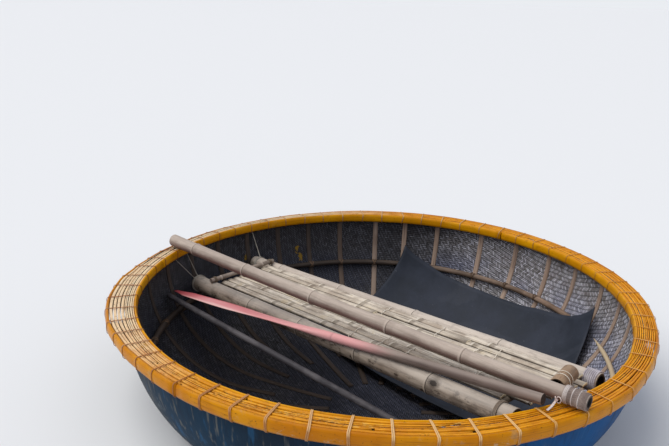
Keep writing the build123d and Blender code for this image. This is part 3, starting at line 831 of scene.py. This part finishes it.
def paddle_paint(name, bare_from, bare_to):
    """Red paint chalked to pink on the blade, thinning along the shaft to brown wood."""
    direction = (PADDLE_END - PADDLE_START).normalized()
    f = Finish(name, 0.52, 0.28)
    along = f.along(direction, PADDLE_START)
    across = f.along(Vector((-direction.y, direction.x, 0)).normalized(), PADDLE_START)
    wear = f.noise(30.0, 6.0, f.turned(direction, 9.0), 0.68)
    clouds = f.noise(7.0, 4.0, f.turned(direction, 3.0))
    grain = f.noise(130.0, 5.0, f.turned(direction, 16.0), 0.62)
    red = f.coat("cd7377", ("dd9092", clouds, 0.38, 0.62), ("e3b9b6", wear, 0.52, 0.64, 0.55),
                 ("bc5158", wear, 0.44, 0.34, 0.5), ("b03c46", across, 0.016, 0.032, 0.6),
                 ("eac9c2", across, -0.018, -0.032, 0.6), ("e6b5b1", along, 0.30, 0.75, 0.55),
                 ("b23a45", along, 0.20, 0.02, 0.75))
    # Paler where the shaft faces up: painted light on its top
    wood = f.coat("6b5c55", ("8b7a70", clouds, 0.38, 0.64), ("443933", grain, 0.50, 0.70, 0.6),
                  ("a89a90", f.looks((0, 0, 1), "Normal"), 0.35, 0.95, 0.35))
    colour = f.coat(red, (wood, f.shaken(along, wear, 0.22), bare_from, bare_to),
                    ("171311", f.looks(direction), 0.9, 0.97, 0.95))
    return f.done(colour, wear, 0.0012, 0.5)


def cord(name, base, light, dark):
    f = Finish(name, 0.8, 0.15)
    strands = f.noise(420.0, 3.0, None, 0.6, 0.6)
    colour = f.coat(base, (light, f.noise(22.0, 3.0), 0.36, 0.64), (dark, strands, 0.50, 0.66, 0.55))
    return f.done(colour, strands, 0.0012, 0.8)


def mat_rubber():
    """Dark slate sheet, dusty, with faint creases."""
    f = Finish("mat_rubber", 0.62, 0.2)
    dust = f.noise(5.0, 6.0, None, 0.62)
    fine = f.noise(260.0, 2.0)
    creases = f.noise(3.4, 4.0, None, 0.5, 1.4)
    colour = f.coat("282d37", ("363b47", dust, 0.36, 0.66), ("454954", creases, 0.55, 0.62, 0.25),
                    ("1e2128", fine, 0.55, 0.70, 0.3), ("6a6d75", f.noise(70.0, 3.0), 0.70, 0.76, 0.5))
    return f.done(colour, f.plus(creases, f.times(fine, 0.12)), 0.003, 0.35,
                  f.fit(dust, 0.3, 0.7, 0.55, 0.72))


# The CAD pieces take their finishes

def dress(name, finish):
    piece = cad[name]
    piece.data.materials.clear()
    piece.data.materials.append(finish)


def dress_hull():
    """Paint outside, bare weave inside and on the trimmed edge."""
    dress("hull_shell", hull_paint())
    hull = cad["hull_shell"].data
    hull.materials.append(woven_inside())
    middle = Vector((0, 0, RIM_TOP))
    for face in hull.polygons:
        face.material_index = 0 if face.normal.dot(face.center - middle) > 0 else 1


dress_hull()
rung_wood = plain_wood("rung_wood", (0, 1, 0), "75695c", "948776", "4b4036", "4a3d30")
for number in range(RUNG_COUNT):
    dress("bench_rung_%d" % (number + 1), rung_wood)
dress("paddle_shaft", paddle_paint("shaft_wood", 0.98, 1.22))
dress("spare_pole", plain_wood("spare_wood", (0.99, 0.1, 0.04), "413e42", "5c585b", "28262a", "222024"))


# Rim

# Name, flat side, proud side, height, azimuth of a joint, seed, unevenness, colours and wear, node
BANDS = (("rim_band_outside", OUTER_BAND_IN, RIM_OUTSIDE, 0.044, OUTER_JOINT, 1, 0.0006,
          ("ba6f00", "d08a02", 0.25, ((0.326, 0.352), (0.396, 0.430))), "outer_rim_band"),
         ("rim_band_inside", INNER_BAND_OUT, RIM_INSIDE, 0.038, INNER_JOINT, 2, 0.0005,
          ("ce8800", "e4a004", 0.08, ()), "inner_rim_band"))

# Inside radius, thickness, drop of the top, height, azimuth of a joint and the gap there
LATHS = ((0.9572, 0.0052, 0.0030, 0.026, 31.0, 0.009), (0.9645, 0.0054, 0.0010, 0.026, 74.0, 0.008),
         (0.9718, 0.0054, 0.0036, 0.026, 329.5, 0.016), (0.9792, 0.0054, 0.0008, 0.026, 160.0, 0.008),
         (0.9462, 0.0042, 0.0006, 0.0040, 327.0, 0.030), (0.9516, 0.0040, 0.0022, 0.0030, 205.0, 0.012),
         (0.9240, 0.0050, 0.0026, 0.026, 252.0, 0.008), (0.9312, 0.0054, 0.0008, 0.026, 292.0, 0.008),
         (0.9388, 0.0054, 0.0034, 0.026, 331.0, 0.014))


def band_outline(flat, proud, height):
    """Half-round split bamboo: flat on one side, proud on the other, in radius and height."""
    middle = RIM_TOP - height / 2
    outline = []
    for step in range(11):
        share = 1 - step / 5
        outline.append((proud + (flat - proud) * 0.55 * abs(share) ** 3.2, middle + share * height / 2))
    return outline + [(flat, RIM_TOP - height + 0.001), (flat, RIM_TOP - 0.001)]


def bands():
    for name, flat, proud, height, joint, seed, sway, colours, node in BANDS:
        bm = bent_ring(band_outline(flat, proud, height), joint, BAND_GAP, seed, sway, 0.0006)
        keep(bm, name, rim_bamboo(name, *colours), "rim_bamboo", node)


def laths():
    """Split laths packed side by side between the bands and over the wall's edge, at uneven heights."""
    parts = []
    for number, (inner, thickness, drop, height, joint, gap) in enumerate(LATHS):
        outline = rounded_outline(inner, inner + thickness, RIM_TOP - drop - height, RIM_TOP - drop, 0.0014)
        parts.append(bent_ring(outline, joint, gap, 10 + number, 0.0007, 0.0010, 72))
    keep(parts, "rim_laths", rim_laths(), "rim_fill", "rim_strips")


def sliver(length, width, azimuth, radius, height, skew, tilt):
    """Splinter that lies along the rim, thinner at one end."""
    bm = bmesh.new()
    made = bmesh.ops.create_cube(bm, size=1.0)["verts"]
    bmesh.ops.scale(bm, vec=(length, width, width * 0.7), verts=made)
    thin = [vertex for vertex in made if vertex.co.x > 0]
    bmesh.ops.scale(bm, vec=(1.0, 0.35, 0.35), verts=thin)
    turn = Matrix.Rotation(azimuth + pi / 2 + skew, 4, "Z") @ Matrix.Rotation(tilt, 4, "Y")
    bmesh.ops.transform(bm, matrix=Matrix.Translation(polar(radius, azimuth, height)) @ turn, verts=made)
    return bm


def chaff():
    """Crumbled splinters of old lath between the newer ones, most of them on the near left."""
    parts = []
    for low, high, count in ((286.0, 311.0, 70), (262.0, 286.0, 26), (322.0, 332.0, 34), (130.0, 210.0, 40)):
        for _ in range(count):
            azimuth = radians(chance.uniform(low, high))
            radius = chance.uniform(0.936, 0.970)
            bend, drop = stray(azimuth, radius)
            parts.append(sliver(chance.uniform(0.010, 0.036), chance.uniform(0.0012, 0.0028), azimuth,
                                radius + bend, RIM_TOP - drop - chance.uniform(0.0010, 0.0044),
                                chance.gauss(0.0, 0.12), chance.gauss(0.0, 0.05)))
    f = Finish("rim_chaff", 0.7, 0.2)
    fleck = f.noise(130.0, 3.0)
    colour = f.coat("a8701f", ("dcae58", fleck, 0.35, 0.65))
    keep(parts, "rim_chaff", f.done(colour, fleck, 0.0008, 0.5), "rim_fill", smooth=False)


def lashing(azimuth, width, shift, slant):
    """Cane bent over the rim: up the outer band, across the top, down the inner band and in to the wall."""
    offset = 0.0003 + CANE_THICKNESS / 2
    outer = RIM_OUTSIDE + offset
    inner = RIM_INSIDE - offset
    top = RIM_TOP + offset
    path = [(HULL_RADIUS + 0.0003, RIM_TOP - 0.0454), (0.985, RIM_TOP - 0.0456),
            (outer - 0.006, RIM_TOP - 0.0445), (outer - 0.0012, RIM_TOP - 0.0385), (outer, RIM_TOP - 0.022),
            (outer - 0.0010, RIM_TOP - 0.0060), (outer - 0.0046, top - 0.0010), (0.9850, top),
            (0.9563, top + 0.0003), (0.9270, top), (inner + 0.0040, top - 0.0010),
            (inner + 0.0008, RIM_TOP - 0.0055), (inner, RIM_TOP - 0.019), (inner + 0.0010, RIM_TOP - 0.0335),
            (inner + 0.0046, RIM_TOP - 0.0392), (0.9394, RIM_TOP - 0.0396)]
    points = []
    for radius, height in path:
        share = min(max((outer - radius) / (outer - inner), 0.0), 1.0)
        droop = (RIM_TOP - height) / 0.045
        turn = azimuth + (shift + slant * (share - 0.5) * (1 - droop)) / 0.96
        bend, drop = stray(turn, radius)
        points.append(polar(radius + bend, turn, height - drop))
    places = []
    middle = polar((outer + inner) / 2, azimuth, RIM_TOP - 0.02)
    tangent = around(azimuth)[1]
    for point, run in with_runs(points):
        up = run.cross(tangent)
        if up.dot(point - middle) < 0:
            up = -up
        places.append(facing_frame(point, run, up))
    return sweep(oval(width, CANE_THICKNESS, 8), places)


def lashings():
    """Every turn of cane round the rim, two strands side by side in front and one elsewhere."""
    parts = []
    for start, end, count in zip(LASHING_MARKS, LASHING_MARKS[1:], LASHING_COUNTS):
        for step in range(count):
            azimuth = (start + (end - start) * step / count) % 360
            slant = chance.gauss(-0.004, 0.008)
            if 283 < azimuth < 348:
                parts.append(lashing(radians(azimuth), 0.0040, 0.0021, slant))
                parts.append(lashing(radians(azimuth), 0.0040, -0.0021, slant + 0.0005))
            else:
                parts.append(lashing(radians(azimuth), 0.0048, 0.0, slant))
    keep(parts, "rim_cane", cane(), "cane", "rim_lashings")


bands()
laths()
chaff()
lashings()


# Ribs, and the pole bent round them

def rib_azimuth(number):
    return radians(RIB_FIRST + number * 360 / RIB_COUNT + RIB_SHIFTS.get(number, 0.0))


def rib(number):
    """Split strip with a rounded back, bent down the bowl from under the rim to its foot on the floor."""
    outward, tangent = around(rib_azimuth(number))
    foot = (0.190, 0.420)[number % 2]
    half = (0.0245 + 0.0015 * wander((number, 0, 0), 1.7, 2)) / 2
    bend = BILGE_RADIUS - RIB_INSET
    floor_run = (FLOOR_RADIUS - RIB_INSET) * sin(FLOOR_ANGLE) - foot
    arc = bend * (pi / 2 - FLOOR_ANGLE)
    total = floor_run + arc + 0.015
    places = []
    for step in range(RIB_STEPS + 1):
        run = total * step / RIB_STEPS
        if run < floor_run:
            radius = foot + run
            height = bowl_height(radius, RIB_INSET)
            slope = asin(radius / FLOOR_RADIUS)
        elif run < floor_run + arc:
            slope = FLOOR_ANGLE + (run - floor_run) / bend
            radius = SIDE_CENTRE_R + bend * sin(slope)
            height = SIDE_CENTRE_Z - bend * cos(slope)
        else:
            radius = HULL_RADIUS - RIB_INSET
            height = SIDE_CENTRE_Z + run - floor_run - arc
            slope = pi / 2
        lean = 0.0022 * wander((run, 0, 0), 2.6, number)
        forward = outward * cos(slope) + Vector((0, 0, sin(slope)))
        inward = Vector((0, 0, cos(slope))) - outward * sin(slope)
        turned = Matrix((forward, inward.cross(forward), inward)).transposed().to_4x4()
        wide = 1 + 0.10 * wander((run, 0, 0), 4.0, number + 50)
        place = outward * radius + Vector((0, 0, height)) + tangent * lean
        places.append(Matrix.Translation(place) @ turned @ Matrix.Diagonal((1, wide, 1, 1)))
    back = [(1.0, 0.0), (0.96, 0.0022), (0.72, 0.0044), (0.30, 0.0058)]
    outline = [(half * share, rise) for share, rise in back]
    return sweep(outline + [(-across, rise) for across, rise in reversed(outline)], places)


def hoop():
    """Knobbly pole bent round the bowl, whittled to a point where its right end comes out from the mat."""
    radius = bowl_radius(HOOP_Z, HOOP_INSET)
    places = []
    for step in range(HOOP_STEPS + 1):
        turn = HOOP_START + 1.0 + (HOOP_END - HOOP_START - 1.0) * step / HOOP_STEPS
        outward, tangent = around(radians(turn))
        size = HOOP_RADIUS * (1 + 0.05 * wander(outward * 4, 2.0, 21))
        knob = abs((turn % 21.7) - 10.0)
        size *= 1 + 0.10 * max(0.0, 1 - knob / 0.5)
        size *= 1 - 0.27 * min(max((turn - 385.0) / 10.0, 0.0), 1.0)
        taper = min(1.0, (HOOP_END + 0.1 - turn) / 6.0, (turn - HOOP_START) / 4.0)
        size *= 0.10 + 0.90 * taper
        place = outward * (radius + 0.0006 * wander(outward * 3, 2.0, 23))
        place.z = HOOP_Z + 0.0012 * wander(outward * 3, 2.0, 27) + 0.004 * (1 - taper)
        places.append(facing_frame(place, tangent, Vector((0, 0, 1))) @ Matrix.Diagonal((1, size, size, 1)))
    keep(sweep(oval(2.0, 2.0, 14), places), "hoop_bent", ring_pole(), "pole_brown", "hoop_pole")


def hoop_ties():
    """Crossed turns of thin cane round the bent pole where it meets a rib, but none near the mat's ends."""
    parts = []
    centre_radius = bowl_radius(HOOP_Z, HOOP_INSET)
    reach = HOOP_RADIUS + 0.0016
    for number in range(RIB_COUNT):
        centre = polar(centre_radius, rib_azimuth(number), HOOP_Z)
        if centre.y > 0.15 and (-0.62 < centre.x < -0.40 or 0.29 < centre.x < 0.92):
            continue
        outward, tangent = around(rib_azimuth(number))
        for lean, start in ((0.55, -0.0018), (0.55, 0.0018), (-0.55, -0.0018), (-0.55, 0.0018)):
            points = []
            for step in range(17):
                angle = tau * step / 16
                along = start + lean * reach * sin(angle)
                points.append(centre + outward * reach * cos(angle) + Vector((0, 0, reach * sin(angle)))
                              + tangent * along)
            parts.append(tube(points, 0.0030))
    finish = plain_wood("tie_cane", (0, 0, 1), "5a4636", "7c6450", "33281f", "5a4636")
    keep(parts, "hoop_ties", finish, "cane")


keep([rib(number) for number in range(RIB_COUNT)], "rib_strips", rib_bamboo(), "rib_bamboo", "ribs")
hoop()
hoop_ties()


# Bench

def bearer(side, row, nodes, ridge, seed, depth, colours, knots, bore, **marks):
    """One of the two long culms that carry the slats, with painted shade inside its open ends."""
    start, end, y, radius = row
    bm = culm(bench_point(start, y, 0), bench_point(end, y, 0), (radius, radius - 0.0006),
              [x - start for x in nodes], BEARER_WALL, ridge, seed, depth=depth)
    middle = bench_point(0, y, 0)
    finish = bamboo("bearer_" + side, middle, middle + BENCH_RUN, nodes, colours, knots,
                    bore=(bore, start + depth, end - depth), **marks)
    keep(bm, "bearer_%s_culm" % side, finish, "bench_bamboo", "bench_bearer_" + side)


def left_bar_x(y):
    return LEFT_BAR_X - (y - LEFT_BAR_Y) * LEFT_BAR_SKEW


def slat_ends(number):
    """Where a slat starts, beside the left bar, and ends, short of the rim."""
    y = SLATS_START + SLAT_PITCH * (number + 0.5)
    start = left_bar_x(y) + LEFT_BAR_CLEAR + SLAT_WIDTH / 2 * LEFT_BAR_SKEW
    edge = abs(y) + SLAT_WIDTH / 2
    return y, start, sqrt((SLAT_REACH - SLAT_TRIMS[number]) ** 2 - edge ** 2)


def slat_outline():
    """Arched section of a split slat, its top at the height of the bench."""
    width = SLAT_WIDTH * SLAT_SPREAD
    outline = []
    for step in range(9):
        share = 1 - step / 4
        outline.append((share * width / 2, -SLAT_FALL * abs(share) ** 2.5))
    return outline + [(-width * 0.44, -0.0105), (0.0, -0.0085), (width * 0.44, -0.0105)]


def slat_piece(y, start, end, lower, nodes, seed):
    """One length of slat with raised nodes and a slow wander."""
    stations = {start: 0.0, end: 0.0}
    stations.update({start + SLAT_STATION * n: 0.0 for n in range(1, int((end - start) / SLAT_STATION))})
    stations = {x: rise for x, rise in stations.items() if x in (start, end)
                or all(abs(x - node) > 0.02 for node in nodes)}
    for node in nodes:
        if start + 0.02 < node < end - 0.02:
            stations.update({node + offset: rise for offset, rise in NODE_SHAPE})
    places = []
    for x in sorted(stations):
        side = 0.0011 * wander((x, 0, 0), 2.4, seed)
        rise = 0.0009 * wander((x, 0, 0), 2.0, seed + 7) + 0.0016 * stations[x] - lower
        width = 1.0 + 0.035 * wander((x, 0, 0), 3.0, seed + 13) + 0.03 * stations[x]
        turn = Matrix.Rotation(-BENCH_SLOPE, 4, "Y") @ Matrix.Diagonal((1.0, width, 1.0, 1.0))
        places.append(Matrix.Translation(bench_point(x, y + side, SLAT_TOP + rise)) @ turn)
    return sweep(slat_outline(), places)


def slats():
    for number in range(len(SLAT_TRIMS)):
        y, start, end = slat_ends(number)
        offset = chance.uniform(0.05, 0.30)
        nodes = [start + offset + 0.285 * n + chance.uniform(-0.03, 0.03) for n in range(6)]
        lower = chance.uniform(0.0, 0.0014)
        lap = SLAT_LAPS.get(number)
        if lap:
            parts = [slat_piece(y, start, lap + 0.03, lower, nodes, number),
                     slat_piece(y - 0.001, lap, end, lower + 0.0040, nodes, number + 20)]
        else:
            parts = [slat_piece(y, start, end, lower, nodes, number)]
        keep(parts, "slat_%d" % (number + 1), slat_bamboo(number, nodes), "slat_bamboo",
             "bench_slat_%d" % (number + 1))


def slat_level(y):
    """Height of the slats' tops across the bench, dipping into the gaps between them."""
    share = ((y - SLATS_START) / SLAT_PITCH) % 1.0 * 2 - 1
    return SLAT_TOP - SLAT_FALL * 0.75 * abs(share) ** 2.5


def slat_ties():
    parts = []
    for (x0, y0), (x1, y1) in SLAT_TIES:
        points = [bench_point(x0, y0, slat_level(y0) - 0.008)]
        for step in range(25):
            share = step / 24
            y = y0 + (y1 - y0) * share
            points.append(bench_point(x0 + (x1 - x0) * share, y, slat_level(y) + 0.0022))
        points.append(bench_point(x1, y1, slat_level(y1) - 0.008))
        parts.append(tube(points, 0.0024))
    keep(parts, "slat_ties", cord("tie_cord", "e6dccb", "f6efe2", "b9aa93"), "cord")


def left_bar():
    """Thin bamboo across the bearers at the bench's left end, with the cords that hold it."""
    start = bench_point(left_bar_x(-0.338), -0.338, 0.0443)
    end = bench_point(left_bar_x(0.034), 0.034, 0.0403)
    nodes = (0.06, 0.17, (end - start).length - 0.07)
    bm = culm(start, end, (0.0100, 0.0096), nodes, 0.003, 0.0013, 9, 18, 0.03)
    finish = bamboo("bar_left", start, end, nodes, ("98897c", "b9aa9c", "5e5046", "2b231d"))
    keep(bm, "left_bar_culm", finish, "bar_wood", "bench_cross_bar_left")
    run = (end - start).normalized()
    parts = [tube(winding(foot, run, 0.0118, 0.0032, 4), 0.0030)
             for foot in (start + run * 0.016, end - run * 0.030)]
    keep(parts, "left_bar_cords", cord("bar_cord", "6f6152", "8c7c6b", "40352c"), "cord")


def right_bar():
    """Short stub of bamboo across the bench's right end, with two thin white turns round it."""
    run = around(radians(10.0))[1]
    centre = bench_point(0.8740, -0.1170, 0.0553)
    start = centre - run * 0.053
    end = centre + run * 0.053
    bm = culm(start, end, (0.025, 0.025), (), 0.006, 0.0, 31, 30, 0.05)
    finish = bamboo("bar_right", start, end, (), ("8a6f56", "b0957a", "4d3a2b", "2f231a"),
                    bore=(0.019, 0.050, 0.056))
    keep(bm, "right_bar_culm", finish, "bar_wood", "bench_cross_bar_right")
    parts = [tube(winding(centre + run * at, run, 0.0258, 0.0012, 1.1, 24), 0.0022) for at in (-0.018, 0.002)]
    keep(parts, "right_bar_cords", cord("thin_cord", "d9cfc0", "efe8da", "a59682"), "cord")


def far_wrap():
    """Cord wound round the far bearer's right end."""
    start = bench_point(0.861, FAR_BEARER[2], 0)
    points = winding(start, BENCH_RUN, FAR_BEARER[3] + 0.0022, 0.0060, 7, 22)
    keep(tube(points, 0.0056, 8), "far_bearer_wrap", cord("lilac_cord", "a79fa6", "cbc4ca", "716a72"), "cord")


def sling(x, y, radius, azimuths, thickness):
    """Turns of cord round a bearer, with a taut leg up to the wall for each azimuth."""
    centre = bench_point(x, y, 0)
    parts = [tube(winding(centre - BENCH_RUN * 0.006, BENCH_RUN, radius + 0.0022, 0.0040, 3, 22), 0.0040, 7)]
    for azimuth in azimuths:
        hook = polar(HOOK_RADIUS, radians(azimuth), HOOK_Z)
        across = hook - centre
        radial = (across - BENCH_RUN * across.dot(BENCH_RUN)).normalized()
        foot = centre + radial * (radius + 0.002)
        points = [foot.lerp(hook, share) for share in (0.0, 0.04, 0.3, 0.6, 0.9, 1.0)]
        parts.append(tube(points, thickness, 7))
        parts.append(ball(foot.lerp(hook, 0.03), thickness * 0.95))
    return parts


def slings():
    white = cord("white_cord", "9f988c", "c2bbaf", "6d6558")
    grey = cord("grey_cord", "8d8984", "b3aea6", "5b5650")
    dark = cord("dull_cord", "85776a", "a09282", "52473d")
    rows = (("near_left", NEAR_BEARER, -0.8206, (207.5, 202.0), 0.0030, white),
            ("far_left", FAR_BEARER, -0.8618, (177.0,), 0.0036, white),
            ("near_right", NEAR_BEARER, 0.8056, (333.0,), 0.0030, dark),
            ("far_right", FAR_BEARER, 0.8738, (4.2,), 0.0048, grey))
    for name, row, x, azimuths, thickness, finish in rows:
        keep(sling(x, row[2], row[3], azimuths, thickness), "sling_" + name, finish, "cord",
             "bench_sling_" + name)


bearer("near", NEAR_BEARER, NEAR_NODES, 0.0026, 3, 0.25, ("7f6e5f", "ad9e8e", "3f332a", "251d18"), 0.95,
       0.025, knot=(0.5756, -0.3493, 0.3379), crown="c9bfb4")
bearer("far", FAR_BEARER, FAR_NODES, 0.0024, 5, 0.20, ("a39182", "c9bbab", "6b5b4e", "3a3029"), 0.6, 0.021,
       crown="d3c8bd")
slats()
slat_ties()
left_bar()
right_bar()
far_wrap()
slings()


# Punt pole

def punt():
    """The long pole across the rim, with fine twine and thicker rings round its right end."""
    run = (PUNT_END - PUNT_START).normalized()
    length = (PUNT_END - PUNT_START).length
    bm = culm(PUNT_START, PUNT_END, (0.026, 0.022), PUNT_NODES, 0.008, 0.0022, 14, 32, bow=0.011)
    finish = bamboo("punt_bamboo", PUNT_START, PUNT_END, PUNT_NODES,
                    ("9a8a7f", "bbac9f", "6f5e54", "54443a"), 0.22, painted_underside_shade="6b4d45",
                    bore=(0.0145, 0.10, length - 0.10), crown="bfb0a3")
    keep(bm, "punt_culm", finish, "punt_bamboo", "punt_pole")
    fine = tube(winding(PUNT_START + run * (length - 0.070), run, 0.0234, 0.0034, 20, 20), 0.0034)
    keep(fine, "punt_grip", cord("grip_twine", "85766f", "a5968e", "554843"), "cord")
    rings = []
    for back, size in ((0.066, 0.0042), (0.062, 0.0042), (0.058, 0.0040), (0.043, 0.0036), (0.025, 0.0030)):
        centre = PUNT_START + run * (length - back)
        rings.append(tube(winding(centre, run, 0.0244, 0.0012, 1.05, 28), size, 8))
    keep(rings, "punt_twine", cord("punt_cord", "aca09b", "cfc5c0", "857974"), "cord", "punt_pole_twine")


def punt_knot():
    """Bow and flat tail of the pole's tie, lying on the rim."""
    parts = []
    knot = Vector((0.9115, -0.2290, 0.3945))
    for turn, size in ((0.5, 0.0088), (1.6, 0.0074)):
        bow = []
        for number in range(19):
            angle = tau * number / 18
            out = size * (1 - cos(angle))
            bow.append(knot + Vector((cos(turn) * out - 0.25 * size * sin(angle), -sin(turn) * out * 0.4,
                                      size * sin(angle) + 0.5 * out)))
        parts.append(tube(bow, 0.0027))
    parts.append(ball(knot, 0.0048))
    tail = [knot, Vector((0.9115, -0.2390, 0.3890)), Vector((0.9120, -0.2510, 0.3842)),
            Vector((0.9130, -0.2630, 0.3828)), Vector((0.9140, -0.2760, 0.3828))]
    places = [facing_frame(point, run, Vector((0, 0, 1))) for point, run in with_runs(tail)]
    parts.append(sweep(oval(0.0075, 0.0018, 8), places))
    parts.append(tube([knot, knot + Vector((0.004, 0.008, 0.003)), Vector((0.9240, -0.2150, 0.4000))],
                      0.0030))
    keep(parts, "punt_knot", cord("pink_cord", "dcc9c2", "f2e6e0", "a8918a"), "cord")


punt()
punt_knot()


# Paddle blade

def blade():
    """Long leaf-shaped blade, rolled a little about the paddle's line with its near edge up."""
    places = []
    foot = line_frame(PADDLE_START, PADDLE_END)
    for step in range(round(BLADE_LENGTH / BLADE_STATION) + 1):
        x = BLADE_STATION * step
        for (x0, width0, depth0), (x1, width1, depth1) in zip(BLADE_SECTIONS, BLADE_SECTIONS[1:]):
            if x0 <= x <= x1 + 1e-9:
                share = eased((x - x0) / (x1 - x0))
                width = width0 + (width1 - width0) * share
                depth = depth0 + (depth1 - depth0) * share
        roll = BLADE_ROLL * min(1.0, (BLADE_LENGTH - x) / 0.20)
        turn = Matrix.Rotation(-roll, 4, "X") @ Matrix.Diagonal((1, width, depth, 1))
        places.append(foot @ Matrix.Translation((x, 0, 0)) @ turn)
    keep(sweep(oval(1.0, 1.0, 20), places), "blade_leaf", paddle_paint("blade_paint", 3.0, 4.0),
         "blade_paint", "paddle_blade")


blade()


# The mat

def mat():
    """A sheet that lies over the bent pole and down on the floor, with soft creases and an uneven edge."""
    bm = bmesh.new()
    bmesh.ops.create_grid(bm, x_segments=96, y_segments=64, size=1.0)
    for vertex in bm.verts:
        u, v = (vertex.co.x + 1) / 2, (1 - vertex.co.y) / 2
        spot = MAT_FAR[0].lerp(MAT_FAR[1], u).lerp(MAT_NEAR[0].lerp(MAT_NEAR[1], u), v)
        spot.y += 4 * MAT_BOW * u * (1 - u) * (1 - v) ** 1.3
        crease = 0.5 + 0.5 * noise.noise(Vector((u * 5.0, v * 2.2, 3.1)))
        ripple = 0.5 + 0.5 * noise.noise(Vector((u * 13.0, v * 6.0, 8.7)))
        lift = 0.0005 + 0.007 * crease + 0.002 * ripple
        edge = min(1.0, min(u, 1 - u, v * 0.9, 1 - v) / 0.05)
        lift += 0.004 * (1 - edge) * crease
        inset = MAT_INSET + lift
        height = bowl_height(min(spot.length, HULL_RADIUS - inset - 0.0005), inset)
        vertex.co = Vector((spot.x, spot.y, height))
    face_up(bm)
    piece = keep(bm, "mat_sheet", mat_rubber(), "mat_rubber", "floor_mat")
    thick = piece.modifiers.new("thickness", "SOLIDIFY")
    thick.thickness = 0.003
    thick.offset = 1.0


mat()


# Stage, light and camera

def stage_floor():
    """A pale floor at the waterline, with a round hole that the hull fills."""
    bm = bmesh.new()
    ring = bmesh.ops.create_circle(bm, segments=180, radius=bowl_radius(0.0, WALL / 2))["verts"]
    for size in (3.0, 16.0, 90.0, 900.0):
        edges = [e for e in bm.edges if all(v in ring for v in e.verts)]
        made = bmesh.ops.extrude_edge_only(bm, edges=edges)["geom"]
        ring = [g for g in made if isinstance(g, bmesh.types.BMVert)]
        for vertex in ring:
            vertex.co = vertex.co.normalized() * size
    face_up(bm)
    material = bpy.data.materials.new("stage_floor")
    material.use_nodes = True
    shader = material.node_tree.nodes["Principled BSDF"]
    shader.inputs["Base Color"].default_value = (0.78, 0.79, 0.80, 1)
    shader.inputs["Roughness"].default_value = 0.9
    floor = add_mesh(bm, "stage_floor", material)


def sun():
    """One wide soft lamp, from the left of the photograph's viewpoint."""
    lamp = bpy.data.lights.new("key", "SUN")
    lamp.energy = 2.0
    lamp.angle = radians(60.0)
    lamp.color = (1.0, 0.97, 0.92)
    elevation = radians(58.0)
    away = polar(cos(elevation), radians(232.0), sin(elevation))
    add_object("key", lamp).rotation_euler = away.to_track_quat("Z", "Y").to_euler()


def surroundings():
    """Soft light from all round, and a paler backdrop where the camera looks past the floor."""
    world = bpy.data.worlds.new("studio")
    bpy.context.scene.world = world
    world.use_nodes = True
    tree = world.node_tree
    tree.nodes.clear()
    shades = []
    for colour, strength in (((0.86, 0.90, 1.0, 1), 0.62), ((0.825, 0.85, 0.885, 1), 1.0)):
        shades.append(tree.nodes.new("ShaderNodeBackground"))
        shades[-1].inputs["Color"].default_value = colour
        shades[-1].inputs["Strength"].default_value = strength
    path = tree.nodes.new("ShaderNodeLightPath")
    either = tree.nodes.new("ShaderNodeMath")
    either.operation = "MAXIMUM"
    mix = tree.nodes.new("ShaderNodeMixShader")
    out = tree.nodes.new("ShaderNodeOutputWorld")
    for source, socket in ((path.outputs["Is Camera Ray"], either.inputs[0]),
                           (path.outputs["Is Transmission Ray"], either.inputs[1]),
                           (either.outputs[0], mix.inputs[0]), (shades[0].outputs[0], mix.inputs[1]),
                           (shades[1].outputs[0], mix.inputs[2]), (mix.outputs[0], out.inputs[0])):
        tree.links.new(source, socket)


def viewpoint():
    """The photograph's camera."""
    eye = (1.759, -1.814, 1.427)
    heading, pitch, roll = -0.84341, 0.3088, 0.0241
    focal_pixels, picture_width = 700, 669
    forward = Vector((sin(heading) * cos(pitch), cos(heading) * cos(pitch), -sin(pitch)))
    right = Vector((cos(heading), -sin(heading), 0))
    up = right.cross(forward)
    side = cos(roll) * right + sin(roll) * up
    top = -sin(roll) * right + cos(roll) * up
    lens = bpy.data.cameras.new("camera")
    lens.sensor_width = 36.0
    lens.lens = focal_pixels / picture_width * lens.sensor_width
    camera = add_object("camera", lens)
    turn = Matrix((side, top, -forward)).transposed().to_4x4()
    camera.matrix_world = Matrix.Translation(eye) @ turn
    bpy.context.scene.camera = camera


stage_floor()
sun()
surroundings()
viewpoint()
bpy.context.scene.view_settings.view_transform = "Standard"
